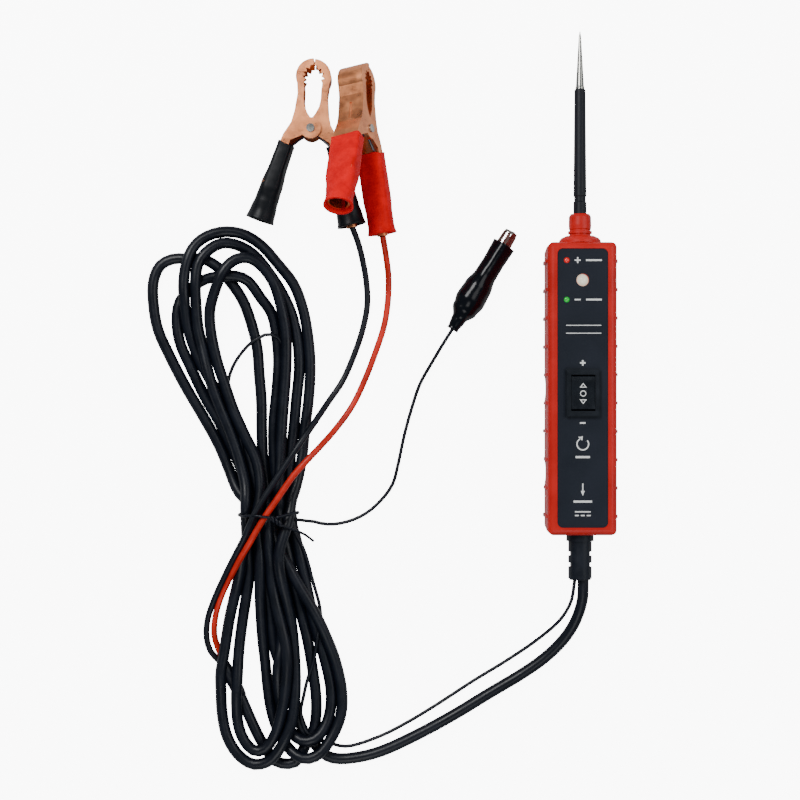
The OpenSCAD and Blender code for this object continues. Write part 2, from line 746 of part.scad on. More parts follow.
// Torsion spring: a coil round the rivet, with a leg inside each handle
module clamp_spring() {
    turns = 4.5;
    steps = 14;
    pitch = spring_wire + 0.12;
    leg = [[-13, -12.5], [-10.5, -9]];
    z0 = -turns * pitch / 2;
    coil = [for (i = [0:turns * steps]) let (a = 180 + 360 * i / steps)
        [spring_r * cos(a), spring_r * sin(a), z0 + pitch * i / steps]];
    path = concat([[leg[0][0], leg[0][1], z0], [leg[1][0], leg[1][1], z0], [-spring_r - 0.4, -2, z0]], coil,
        [[spring_r + 0.4, -2, -z0], [-leg[1][0], leg[1][1], -z0], [-leg[0][0], leg[0][1], -z0]]);
    color("gray") tube(path, spring_wire);
}

// A bar that ends where the crimp does
module crimp_bar(d, h) {
    translate([0, -handle_l - crimp_out - 0.01, 0]) rotate([-90, 0, 0]) cylinder(d = d, h = h);
}

// The crimped barrel that holds a lead in the fixed handle
module clamp_crimp() {
    color("chocolate") mirror([1, 0, 0]) at_handle() difference() {
        crimp_bar(crimp_d, crimp_l);
        crimp_bar(lead_d + 0.1, crimp_l - 1);
    }
}

module at_black_clamp() {
    translate(black_place + back) rotate(black_turn) children();
}

module at_red_clamp() {
    translate(red_place + back) rotate([0, 0, red_yaw]) rotate([red_pitch, 0, 0]) rotate([0, red_roll, 0])
        children();
}

module black_clamp_fixed_jaw() {
    at_black_clamp() mirror([1, 0, 0]) clamp_half(inner_w);
}

module black_clamp_moving_jaw() {
    at_black_clamp() clamp_half(clamp_w);
}

module black_clamp_rivet() {
    at_black_clamp() clamp_rivet();
}

module black_clamp_spring() {
    at_black_clamp() clamp_spring();
}

module black_clamp_fixed_sleeve() {
    color([0.08, 0.08, 0.1]) at_black_clamp() mirror([1, 0, 0]) clamp_grip(inner_w);
}

module black_clamp_moving_sleeve() {
    color([0.08, 0.08, 0.1]) at_black_clamp() clamp_grip(clamp_w);
}

module black_clamp_crimp() {
    at_black_clamp() clamp_crimp();
}

module red_clamp_fixed_jaw() {
    at_red_clamp() mirror([1, 0, 0]) clamp_half(inner_w);
}

module red_clamp_moving_jaw() {
    at_red_clamp() clamp_half(clamp_w);
}

module red_clamp_rivet() {
    at_red_clamp() clamp_rivet();
}

module red_clamp_spring() {
    at_red_clamp() clamp_spring();
}

module red_clamp_fixed_sleeve() {
    color("crimson") at_red_clamp() mirror([1, 0, 0]) clamp_grip(inner_w);
}

module red_clamp_moving_sleeve() {
    color("crimson") at_red_clamp() clamp_grip(clamp_w);
}

module red_clamp_crimp() {
    at_red_clamp() clamp_crimp();
}

// ---------- ground clip ----------

// Outline of a half of the clip, seen along its pivot, with small teeth on the mating edge
function clip_outline() = concat(
    [[-0.08, clip_jaw_l], [-1.5, clip_jaw_l + 0.3], [-2.2, clip_jaw_l - 1.5], [-3.3, 5], [-3.4, 1],
        [-3.1, -3], [-4.2, -8], [-4.8, clip_handle_y], [-4.1, clip_handle_y], [-3.2, -8],
        [-1.8, -2], [0, -1.2], [-0.6, 3]],
    [for (i = [0:12]) [i % 2 == 0 ? -0.7 : -0.08, clip_jaw_l - 7 + i * 0.55]]);

module clip_half(w) {
    color("silver") difference() {
        union() {
            translate([0, 0, -w / 2]) linear_extrude(w) polygon(clip_outline());
            cylinder(r = 2, h = w, center = true);
        }
        block([-2.6, -far, clip_t - w / 2], [far, clip_jaw_l - 0.6, w / 2 - clip_t]);
        block([-3.9, -far, clip_t - w / 2], [far, -6, w / 2 - clip_t]);
        cylinder(d = clip_rivet_d + 2 * pin_slip, h = far, center = true);
    }
}

module clip_rivet() {
    h = clip_w + 2 * pin_slip;
    color("silver") union() {
        cylinder(d = clip_rivet_d, h = h, center = true);
        for (z = [-h / 2 - 0.3, h / 2]) translate([0, 0, z]) cylinder(d = 2.4, h = 0.3);
    }
}

module clip_spring() {
    turns = 3.5;
    steps = 12;
    wire = 0.6;
    pitch = wire + 0.06;
    r = clip_rivet_d / 2 + 0.12 + wire / 2;
    z0 = -turns * pitch / 2;
    coil = [for (i = [0:turns * steps]) let (a = 180 + 360 * i / steps)
        [r * cos(a), r * sin(a), z0 + pitch * i / steps]];
    color("gray") tube(concat([[-3.3, -10, z0], [-r, -1.6, z0]], coil,
        [[r, -1.6, -z0], [3.3, -10, -z0]]), wire);
}

// The boot's shape: square in front, swollen round the handles, then a round neck.
// inset takes off its wall, and reach runs the ends on.
module boot_form(inset, reach) {
    for (part = [0, 1]) hull() {
        translate([0, boot_bulge_y, 0]) rotate([90, 0, 0])
            linear_extrude(1.2, center = true)
                polygon(rounded_outline(boot_bulge[0] - 2 * inset, boot_bulge[1] - 2 * inset, 3.4));
        if (part == 0) translate([0, boot_front_y + reach, 0]) rotate([90, 0, 0])
            linear_extrude(0.8)
                polygon(rounded_outline(boot_front[0] - 2 * inset, boot_front[1] - 2 * inset, 1.2));
        if (part == 1) translate([0, boot_back_y + 4, 0]) rotate([90, 0, 0])
            cylinder(d = boot_neck_d - 2 * inset, h = 4 + reach, $fn = 32);
    }
}

module ground_clip_boot() {
    color([0.07, 0.07, 0.09]) at_clip() difference() {
        boot_form(0, 0);
        boot_form(boot_t, 1);
    }
}

module at_clip() {
    translate(clip_place + back) rotate([0, 0, clip_yaw]) rotate([0, clip_roll, 0]) children();
}

module ground_clip_fixed_jaw() {
    at_clip() mirror([1, 0, 0]) clip_half(clip_inner_w);
}

module ground_clip_moving_jaw() {
    at_clip() clip_half(clip_w);
}

module ground_clip_rivet() {
    at_clip() clip_rivet();
}

module ground_clip_spring() {
    at_clip() clip_spring();
}

front_housing();
rear_housing();
front_label();
housing_screws();
switch_body();
rocker_button();
switch_terminals();
red_led();
green_led();
work_light();
circuit_board();
board_parts();
thermal_breaker();
cable_anchor();
probe_collar();
probe_socket();
probe_rod();
probe_needle();
probe_insulator();
strain_relief();
cable_end();
ground_lead_end();
red_wire();
black_wire();
probe_wire();
main_cable();
cable_hank();
hank_tie();
ground_lead_feed();
ground_lead_tail();
black_lead();
red_lead();
black_clamp_fixed_jaw();
black_clamp_moving_jaw();
black_clamp_rivet();
black_clamp_spring();
black_clamp_fixed_sleeve();
black_clamp_moving_sleeve();
black_clamp_crimp();
red_clamp_fixed_jaw();
red_clamp_moving_jaw();
red_clamp_rivet();
red_clamp_spring();
red_clamp_fixed_sleeve();
red_clamp_moving_sleeve();
red_clamp_crimp();
ground_clip_fixed_jaw();
ground_clip_moving_jaw();
ground_clip_rivet();
ground_clip_spring();
ground_clip_boot();
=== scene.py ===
"""Circuit test light: the looks of a powered circuit tester, its cords, its clamps and its clip.

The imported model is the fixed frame. This script gives its parts their finishes, lays the real
cords along their routes, and adds the printed signs, the plastic sleeves and the wire tie.
"""

import json
import math

import bmesh
import bpy
import numpy as np
from mathutils import Matrix, Vector, noise
from mathutils.bvhtree import BVHTree


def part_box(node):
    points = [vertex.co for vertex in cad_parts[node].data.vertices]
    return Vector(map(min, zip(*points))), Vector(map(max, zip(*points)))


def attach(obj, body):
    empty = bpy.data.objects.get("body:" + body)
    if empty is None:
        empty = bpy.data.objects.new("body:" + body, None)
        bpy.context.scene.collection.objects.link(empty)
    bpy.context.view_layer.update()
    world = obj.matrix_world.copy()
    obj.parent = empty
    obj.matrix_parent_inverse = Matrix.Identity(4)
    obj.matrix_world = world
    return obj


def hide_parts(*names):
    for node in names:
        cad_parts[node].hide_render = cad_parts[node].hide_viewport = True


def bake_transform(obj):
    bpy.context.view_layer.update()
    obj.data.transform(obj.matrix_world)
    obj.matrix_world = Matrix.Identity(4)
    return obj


bl_info = {
    "name": "Circuit test light",
    "version": (1, 0, 0),
    "blender": (4, 5, 0),
    "location": "View3D > Sidebar > Test light",
    "description": "Finishes and soft parts of a circuit tester with clamps and cords",
    "category": "Object",
}

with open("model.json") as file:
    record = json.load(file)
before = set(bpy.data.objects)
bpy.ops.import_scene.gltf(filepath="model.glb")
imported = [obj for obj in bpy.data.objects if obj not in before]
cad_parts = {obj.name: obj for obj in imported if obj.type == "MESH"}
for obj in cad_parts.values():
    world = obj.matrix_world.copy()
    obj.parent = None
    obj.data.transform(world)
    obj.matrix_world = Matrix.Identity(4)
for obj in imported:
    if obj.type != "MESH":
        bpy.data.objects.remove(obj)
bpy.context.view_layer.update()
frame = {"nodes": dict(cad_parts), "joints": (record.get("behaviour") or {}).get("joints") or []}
CAD_NODES = frame["nodes"]
MM = 0.001


# ---------- colours and nodes ----------


def rgb(code):
    """Turn an sRGB hex value into the linear colour that a shader takes."""
    parts = [int(code[i : i + 2], 16) / 255 for i in (1, 3, 5)]
    linear = [p / 12.92 if p <= 0.04045 else ((p + 0.055) / 1.055) ** 2.4 for p in parts]
    return (*linear, 1.0)


def add(tree, kind, settings=None, links=None):
    """Add one shader node, with its settings and with what feeds its inputs."""
    node = tree.nodes.new("ShaderNode" + kind)
    for key, value in (settings or {}).items():
        if isinstance(key, int) or key in node.inputs:
            node.inputs[key].default_value = value
        else:
            setattr(node, key, value)
    for key, source in (links or {}).items():
        tree.links.new(source, node.inputs[key])
    return node


def finish(name, deep, pale, rough, patch=14, grain=0.5, height=0.006, stretch=(1, 1, 1), **shader):
    """Make a material whose colour drifts from deep to pale over patches, and whose roughness
    and bump follow its grain. Patch, grain and height are in millimetres."""
    material = bpy.data.materials.new(name)
    material.use_nodes = True
    tree = material.node_tree
    surface = tree.nodes["Principled BSDF"]
    place = add(tree, "TexCoord").outputs["Object"]
    along = add(tree, "Mapping", {"Scale": stretch}, {"Vector": place}).outputs["Vector"]
    cloud = add(
        tree, "TexNoise", {"Scale": 1 / (patch * MM), "Detail": 5.0, "Roughness": 0.6}, {"Vector": place}
    )
    specks = add(
        tree, "TexNoise", {"Scale": 1 / (grain * MM), "Detail": 3.0, "Roughness": 0.55}, {"Vector": along}
    )
    drift = add(
        tree, "MapRange", {"From Min": 0.36, "From Max": 0.64}, {"Value": cloud.outputs["Fac"]}
    )
    tone = add(tree, "Mix", {"data_type": "RGBA", 6: deep, 7: pale}, {0: drift.outputs["Result"]})
    both = add(
        tree,
        "Math",
        {"operation": "MULTIPLY_ADD", 1: 0.5},
        {0: specks.outputs["Fac"], 2: cloud.outputs["Fac"]},
    )
    wear = add(
        tree,
        "MapRange",
        {"From Min": 0.55, "From Max": 0.95, "To Min": rough[0], "To Max": rough[1]},
        {"Value": both.outputs["Value"]},
    )
    relief = add(tree, "Bump", {"Distance": height * MM}, {"Height": specks.outputs["Fac"]})
    tree.links.new(tone.outputs[2], surface.inputs["Base Color"])
    tree.links.new(wear.outputs["Result"], surface.inputs["Roughness"])
    tree.links.new(relief.outputs["Normal"], surface.inputs["Normal"])
    for key, value in shader.items():
        surface.inputs[key.replace("_", " ")].default_value = value
    return material


# ---------- shapes ----------


def object_from(name, verts, faces, material, smooth=True):
    """Make a mesh object from points in metres and join it to the scene."""
    mesh = bpy.data.meshes.new(name)
    mesh.from_pydata([tuple(v) for v in verts], [], faces)
    tidy = bmesh.new()
    tidy.from_mesh(mesh)
    bmesh.ops.recalc_face_normals(tidy, faces=tidy.faces)
    tidy.to_mesh(mesh)
    tidy.free()
    mesh.polygons.foreach_set("use_smooth", [smooth] * len(mesh.polygons))
    mesh.materials.append(material)
    piece = bpy.data.objects.new(name, mesh)
    bpy.context.scene.collection.objects.link(piece)
    return piece


def rings_to_faces(count, sides, caps):
    """Faces of a skin over rings of points, with its two end faces if caps is set."""
    faces = [
        (r * sides + k, r * sides + (k + 1) % sides, (r + 1) * sides + (k + 1) % sides, (r + 1) * sides + k)
        for r in range(count - 1)
        for k in range(sides)
    ]
    if caps:
        faces += [tuple(range(sides))[::-1], tuple(range((count - 1) * sides, count * sides))]
    return faces


def smooth_line(points, step):
    """A smooth line through the points, with new points a step apart."""
    p = np.asarray(points, float)
    p = np.vstack([2 * p[0] - p[1], p, 2 * p[-1] - p[-2]])
    fine = []
    for a, b, c, d in zip(p[:-3], p[1:-2], p[2:-1], p[3:]):
        # knots by the square root of each gap keep the curve from looping at uneven gaps
        t0, t1 = 0.0, math.sqrt(np.linalg.norm(b - a))
        t2 = t1 + math.sqrt(np.linalg.norm(c - b))
        t3 = t2 + math.sqrt(np.linalg.norm(d - c))
        for t in np.linspace(t1, t2, 12, endpoint=False):
            ab = a + (b - a) * (t - t0) / (t1 - t0)
            bc = b + (c - b) * (t - t1) / (t2 - t1)
            cd = c + (d - c) * (t - t2) / (t3 - t2)
            left = ab + (bc - ab) * (t - t0) / (t2 - t0)
            right = bc + (cd - bc) * (t - t1) / (t3 - t1)
            fine.append(left + (right - left) * (t - t1) / (t2 - t1))
    fine.append(p[-2])
    return spaced(np.array(fine), step)


def spaced(line, step):
    """The same line with its points evenly spaced."""
    along = np.concatenate([[0], np.cumsum(np.linalg.norm(np.diff(line, axis=0), axis=1))])
    at = np.linspace(0, along[-1], max(2, round(along[-1] / step) + 1))
    return np.stack([np.interp(at, along, line[:, k]) for k in range(3)], axis=1)


def tube_rings(line, radii, sides):
    """Rings of points round a line, one radius to a point, turned as little as can be."""
    line = np.asarray(line, float)
    heads = np.gradient(line, axis=0)
    heads /= np.linalg.norm(heads, axis=1)[:, None]
    side = np.cross(heads[0], [0.1, 0.2, 1.0])
    rings = []
    for point, head, radius in zip(line, heads, radii):
        side = side - head * (side @ head)
        side /= np.linalg.norm(side)
        up = np.cross(head, side)
        turn = np.linspace(0, 2 * math.pi, sides, endpoint=False)[:, None]
        rings.append(point + radius * (np.cos(turn) * side + np.sin(turn) * up))
    return np.concatenate(rings)


def tube(name, line, diameter, material, sides=12):
    """A closed round tube along a line, in metres. Diameter is one size, or one for each point."""
    radii = np.broadcast_to(np.asarray(diameter, float) / 2, (len(line),))
    return object_from(
        name, tube_rings(line, radii, sides), rings_to_faces(len(line), sides, True), material
    )


# ---------- cords ----------

STEP = 3.0  # spacing of a settled cord's points, in millimetres
HANK_HEIGHT = 14.0
WAIST = (-136.5, -92.0)  # middle of the tied waist
WAIST_HALF = (12.4, 9.0)  # half of its width, and half of the length that the tie holds together

# The supply cable from the tester to the hank, each point in millimetres
MAIN_FEED = [
    (1.4, -120, 11), (1.4, -122, 11), (1.2, -129, 9.8), (-1.5, -138.5, 7.6), (-6.5, -147, 5.4),
    (-14.5, -155.3, 3.6), (-24.5, -162.6, 2.6), (-38.6, -171, 2.6), (-54.9, -180.9, 2.6),
    (-71.3, -189.8, 2.6), (-87.6, -197.2, 2.6), (-98, -199.8, 2.6), (-106.1, -200.3, 2.6),
]
# The hank's half turns in order, each with its height and then x and y of its points. They go over
# the upper lobe from left to right, then round the lower lobe from right to left, and so on.
HANK_TURNS = [
    (2.5, "-112 -199 -118 -193 -123 -182 -128 -168 -133 -152 -137 -134 -141 -116 -143 -99 -145 -88"),
    (3, "-152 -68 -159 -53 -166 -40 -172 -26 -176 -16 -177 -7 -176 1 -172 7 -166 12 -159 14 -153 14 "
        "-147 12 -141 4 -136 -3 -134 -12 -133 -24 -134 -37 -136 -50 -137 -62 -137 -77 -135 -92"),
    (6, "-131 -106 -125 -120 -119 -132 -114 -144 -109 -157 -106 -170 -106 -180 -110 -191 -115 -198 "
        "-120 -200 -125 -198 -130 -192 -134 -181 -136 -169 -137 -152 -139 -130 -141 -108 -145 -92"),
    (3, "-150 -81 -154 -71 -159 -59 -166 -47 -174 -34 -181 -21 -186 -10 -188 1 -188 11 -185 18 "
        "-179 21 -172 21 -166 21 -161 18 -155 12 -149 4 -145 -6 -142 -18 -141 -30 -140 -42 "
        "-140 -55 -140 -68 -139 -86"),
    (8, "-138 -99 -136 -112 -134 -127 -131 -143 -130 -158 -130 -169 -131 -178 -133 -187 -137 -194 "
        "-142 -196 -147 -192 -150 -185 -151 -174 -151 -158 -150 -143 -148 -125 -146 -108 -146 -92"),
    (7, "-146 -81 -149 -69 -153 -57 -157 -46 -162 -33 -166 -19 -169 -9 -170 2 -170 12 -169 19 "
        "-164 25 -158 28 -151 27 -144 23 -138 16 -132 7 -127 -3 -124 -15 -123 -28 -124 -41 "
        "-125 -55 -127 -68 -129 -86"),
    (5, "-128 -99 -125 -112 -120 -128 -115 -144 -111 -156 -108.5 -168 -108.6 -177 -111 -184.5 "
        "-115.5 -189.6 -120.8 -191 -126 -188.6 -129.8 -183 -131.4 -175 -131.6 -163 -131.4 -147 "
        "-133 -125 -135 -108 -139 -92"),
    (6, "-141 -77 -146 -63 -152 -52 -158 -41 -164 -29 -169 -18 -172 -7 -173 3 -173 12 -171 21 "
        "-168 27 -163 31 -156 33 -148 32 -140 27 -133 19 -126 10 -122 -1 -120 -12 -119 -26 "
        "-120 -41 -122 -55 -123 -68 -126 -84"),
    (9, "-129 -97 -132 -108 -132 -119 -129 -135 -127 -149 -126 -163 -126 -175 -127 -185 -131 -194 "
        "-136 -200 -143 -202 -150 -198 -155 -190 -157 -180 -157 -169 -156 -156 -154 -138 "
        "-150 -119 -148 -103 -145 -92"),
    (10, "-142 -80 -143 -68 -148 -57 -153 -46 -157 -35 -161 -24 -163 -12 -163 -2 -160 7 -156 15 "
         "-151 20 -145 21 -139 17 -134 10 -131 0 -129 -12 -129 -26 -130 -40 -131 -53 -132 -68 "
         "-133 -86"),
    (3, "-132 -99 -128 -115 -124 -130 -120 -145 -118 -160 -117 -174 -118 -185 -121 -195 -125 -201 "
        "-129 -202 -134 -201 -140 -193 -145 -183 -149 -174 -152 -167 -155 -162"),
]
GROUND_FEED = [
    (-2.25, -120, 11), (-3.8, -129.8, 10), (-8.2, -138, 7.4), (-17.3, -146.7, 4.4),
    (-30.4, -156.3, 1.6), (-46.8, -166.5, 0.9), (-63.1, -177.1, 0.9), (-75.4, -184.5, 0.9),
    (-87.6, -190.7, 0.9), (-101.8, -195.2, 0.9), (-107.5, -194.6, 0.9), (-111.5, -193, 0.9),
]
GROUND_TURN = (
    "-115 -192 -121 -189 -124 -181 -122 -172 -120 -165 -117 -157 -115 -145 -115 -135 -119 -119 "
    "-122 -103 -125 -94 -127 -81 -129 -63 -130 -41 -130 -28 -131 -18 -134 -13 -138 -12 -142 -14 "
    "-147 -18 -152 -24 -155 -30 -156 -36 -154 -43 -150 -59 -145 -77 -140 -87 -134 -91"
)
GROUND_TAIL = [
    (-125, -92.5, 7.5), (-120, -94, 4.6), (-115, -95.9, 1.8), (-109.5, -96.6, 0.9),
    (-102.4, -95.5, 0.9), (-94.3, -92, 0.9), (-87.2, -85.9, 0.9), (-82.1, -78.8, 0.9),
    (-79.6, -69.7, 0.9), (-77, -57.5, 0.9), (-74, -46.4, 0.9), (-69.9, -34.2, 1.2),
    (-65, -25.4, 2.6), (-60.5, -17.8, 4.8), (-56.2, -10.9, 6.8), (-55.3, -9.45, 6.8),
    (-53.9, -7.2, 6.8),
]
BLACK_ROUTE = [
    (-99.8, 34.5, 7.4), (-97.4, 28.4, 5.8), (-95.6, 21.6, 3.2), (-93.8, 11.5, 1.5),
    (-93.3, 1.3, 1.5), (-95.3, -9.8, 1.5), (-99.4, -22, 1.5), (-104.4, -33.2, 1.8),
    (-110.5, -42.3, 4.5), (-117.4, -53, 11.5), (-122.5, -60.5, 15.2), (-128.4, -69.4, 15.7),
    (-135.9, -80.9, 15.7), (-142, -91, 15.7), (-146.7, -101.5, 15.2), (-151.8, -111, 11.5),
    (-157, -121, 6.4), (-161.4, -130.5, 2.8), (-164.2, -138.8, 1.5), (-164.7, -146.7, 1.5),
    (-162.8, -153.1, 1.5), (-158.3, -158, 1.5), (-155.6, -162.2, 2.3),
]
RED_ROUTE = [
    (-86.4, 30.8, 7.2), (-85.6, 26.2, 5.2), (-84.8, 21.2, 2.8), (-83.9, 13.5, 1.5),
    (-84.1, 3.4, 1.5), (-85.7, -7.8, 1.5), (-89.2, -18.9, 1.5), (-94.3, -32.2, 1.5),
    (-99.9, -43.9, 2), (-107.5, -54.6, 6.4), (-113.5, -61.5, 12), (-118.4, -66.8, 15.2),
    (-124.6, -73.6, 15.7), (-131.8, -83.8, 15.7), (-138.7, -94, 15.7), (-144.5, -104, 15.2),
    (-149.4, -112, 11.5), (-154.2, -120.6, 6.4), (-158.2, -129, 2.8), (-160.8, -137.9, 1.5),
    (-161.2, -146, 1.5), (-158.9, -153.2, 1.5), (-154.9, -162, 3.4),
]


def flat_points(text, height):
    """Points from a line of x and y values, all at one height."""
    numbers = [float(n) for n in text.split()]
    return [(x, y, height) for x, y in zip(numbers[::2], numbers[1::2])]


SNUG = 1.01  # spacing of turns that touch, in diameters
PRESS = 0.32  # how much of an overlap one round takes away
SINK = 0.02  # how far a round lets the turns sink, in millimetres
EVEN = 0.7  # how much of a shift is shared with its neighbours
NEAR = 1.7  # turns closer than this are watched, in diameters
ALONG = 2.2  # points closer than this along a cord don't press each other, in diameters
POST_NEAR = 0.6  # how far past touching a post is watched, in diameters
POST_SNUG, POST_PRESS = 1.02, 0.5  # a post's own spacing, in shares of touching, and its press


def settle(line, diameter, fixed=(), held=(2, 2), rounds=220):
    """Press a route's turns apart until they lie beside and on each other, all in millimetres.
    fixed is what they go round: lists of points, each with its diameter. held is how many
    points stay put at each end."""
    rest, shift = np.array(line, float), np.zeros((len(line), 3))
    count, radius = len(rest), diameter / 2
    free = np.ones((count, 1))
    free[: held[0]] = free[count - held[1] :] = 0
    posts = np.concatenate([p for p, _ in fixed]) if fixed else np.zeros((0, 3))
    reach = np.concatenate([np.full(len(p), radius + d / 2) for p, d in fixed]) if fixed else np.zeros(0)
    skip = math.ceil(ALONG * diameter / STEP)
    waist = np.abs(rest[:, 1] - WAIST[1]) < WAIST_HALF[1]
    for turn in range(rounds):
        here = rest + shift
        if turn % 8 == 0:
            gap = np.linalg.norm(here[:, None] - here[None], axis=2)
            a, b = np.nonzero(np.triu(gap < NEAR * diameter, skip))
            if len(posts):
                gap = np.linalg.norm(here[:, None] - posts[None], axis=2)
                c, e = np.nonzero(gap < reach[None] + diameter * POST_NEAR)
        apart = here[a] - here[b]
        length = np.maximum(np.linalg.norm(apart, axis=1), 1e-6)
        press = np.maximum(diameter * SNUG - length, 0) / length * PRESS
        push = np.zeros_like(here)
        np.add.at(push, a, apart * press[:, None])
        np.add.at(push, b, -apart * press[:, None])
        if len(posts):
            apart = here[c] - posts[e]
            length = np.maximum(np.linalg.norm(apart, axis=1), 1e-6)
            press = np.maximum(reach[e] * POST_SNUG - length, 0) / length * POST_PRESS
            np.add.at(push, c, apart * press[:, None])
        push[:, 2] -= SINK
        shift += push * free
        soft = shift.copy()
        soft[1:-1] = 0.5 * shift[1:-1] + 0.25 * (shift[:-2] + shift[2:])
        shift += (soft - shift) * EVEN * free
        here = rest + shift
        here[:, 2] = np.clip(here[:, 2], radius, HANK_HEIGHT - radius)
        room = WAIST_HALF[0] - radius
        here[waist, 0] = np.clip(here[waist, 0], WAIST[0] - room, WAIST[0] + room)
        shift = (here - rest) * free
    return rest + shift


def cord_curve(name, line, diameter, material):
    """A round cord: one open curve along a line in millimetres."""
    curve = bpy.data.curves.new(name, "CURVE")
    curve.dimensions = "3D"
    curve.bevel_depth = diameter / 2
    curve.bevel_resolution = 5
    curve.use_fill_caps = True
    spline = curve.splines.new("POLY")
    spline.points.add(len(line) - 1)
    for point, place in zip(spline.points, line):
        point.co = (*(place * MM), 1.0)
    curve.materials.append(material)
    piece = bpy.data.objects.new(name, curve)
    bpy.context.scene.collection.objects.link(piece)
    return piece


# ---------- where the clamps and the clip lie ----------


def joint_place(name):
    """Where a joint's axis passes, in metres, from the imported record."""
    joint = next(j for j in frame["joints"] if j["name"] == name)
    return Vector(joint["pos_m"])


def turned(place, *turns):
    """A frame at a place, turned about one axis after another: pairs of an axis and degrees."""
    matrix = Matrix.Translation(place)
    for axis, angle in turns:
        matrix = matrix @ Matrix.Rotation(math.radians(angle), 4, axis)
    return matrix


# Each clamp lies in a frame with its rivet at the origin, its jaws towards +Y and its pivot along Z
BLACK_CLAMP = turned(joint_place("black_clamp_pivot"), ("Z", -3.3))
RED_CLAMP = turned(joint_place("red_clamp_pivot"), ("Z", 1.6), ("X", -13.5), ("Y", 64))
GROUND_CLIP = turned(joint_place("ground_clip_pivot"), ("Z", -31.5), ("Y", 50))
HANDLE = turned((-0.0094, -0.003, 0), ("Z", -16))  # a moving handle, in its clamp's frame
MIRROR = Matrix.Scale(-1, 4, (1, 0, 0))


def oval_ring(y, half_x, half_z, power, sides, wave=0.0):
    """A ring across Y between an ellipse (power 2) and a box with round corners (power 6)."""
    ring = []
    for k in range(sides):
        angle = 2 * math.pi * k / sides
        c, s = math.cos(angle), math.sin(angle)
        x = half_x * math.copysign(abs(c) ** (2 / power), c)
        z = half_z * math.copysign(abs(s) ** (2 / power), s)
        ring.append(Vector((x, y + wave * math.sin(3 * angle + 1), z)))
    return ring


def shaped(stations, y):
    """Sizes at y, eased between the stations before and after it: rows of y and any sizes."""
    for (y0, *low), (y1, *high) in zip(stations, stations[1:]):
        if y1 <= y <= y0:
            t = (y0 - y) / (y0 - y1)
            t = t * t * (3 - 2 * t)
            return [a + (b - a) * t for a, b in zip(low, high)]
    return stations[-1][1:]


def soft_shell(name, stations, wall, place, material, rows=56, sides=56, lip=0.25, crease=0.1, wave=0.0):
    """A flexible plastic sleeve with a wall, lips at both ends and small creases, in millimetres.
    stations are rows of y, half widths across X and Z, and the power of the section's oval_ring."""
    top, low = stations[0][0], stations[-1][0]
    heights = [top + (low - top) * k / (rows - 1) for k in range(rows)]
    rings = []
    for y in heights:
        half_x, half_z, power = shaped(stations, y)
        bead = lip * (math.exp(-(((y - low) / 0.9) ** 2)) + 0.5 * math.exp(-(((y - top) / 0.7) ** 2)))
        edge = wave * math.exp(-(((y - top) / 3) ** 2))
        rings.append(oval_ring(y, half_x + bead, half_z + bead, power, sides, edge))
    for y in reversed(heights):
        half_x, half_z, power = shaped(stations, y)
        edge = wave * math.exp(-(((y - top) / 3) ** 2))
        rings.append(oval_ring(y, half_x - wall, half_z - wall, power, sides, edge))
    count = len(rings)
    verts = []
    for r, ring in enumerate(rings):
        for point in ring:
            fold = noise.noise(Vector((point.x * 0.35, point.y * 0.5, point.z * 0.35))) * crease
            outward = Vector((point.x, 0, point.z)).normalized()
            verts.append(place @ ((point + outward * fold * (r < rows)) * MM))
    faces = [
        (r * sides + k, r * sides + (k + 1) % sides, (r + 1) % count * sides + (k + 1) % sides,
         (r + 1) % count * sides + k)
        for r in range(count)
        for k in range(sides)
    ]
    return object_from(name, verts, faces, material)


def coil_spring(node, place, wire, radius, turns, leg, steel):
    """The torsion spring of a CAD node, round a pivot, with one leg in each half, in millimetres.
    leg holds x and y from the end of the moving half's leg to the coil."""
    steps, pitch = 22, wire * 1.1
    low = -turns * pitch / 2
    coil = [
        (radius * math.cos(a), radius * math.sin(a), low + pitch * k / steps)
        for k in range(int(turns * steps) + 1)
        for a in [math.pi + 2 * math.pi * k / steps]
    ]
    lead_in = [(x, y, low) for x, y in leg]
    lead_out = [(-x, y, -low) for x, y in reversed(leg)]
    line = smooth_line(lead_in + coil + lead_out, wire / 3)
    placed = np.array([place @ (Vector(p) * MM) for p in line])
    spring = tube(node.replace("spring", "coil_spring"), placed, wire * MM, steel, 10)
    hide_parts(node)
    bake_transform(spring)


# ---------- printed signs ----------

PRINT_TOP, PRINT_ROOT = 0.03, 0.02  # how far the ink stands above and reaches into its ground


def surface_under(node):
    """A way to find how high a node's top surface is at x and y, in metres."""
    piece = CAD_NODES[node]
    mesh = piece.data
    tree = BVHTree.FromPolygons([v.co for v in mesh.vertices], [p.vertices for p in mesh.polygons])
    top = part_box(node)[1][2] + 0.01

    def height(x, y):
        hit = tree.ray_cast(Vector((x, y, top)), Vector((0, 0, -1)))[0]
        if hit is None:
            raise RuntimeError(f"nothing of {node} lies under {x:.4f}, {y:.4f}")
        return hit.z

    return height


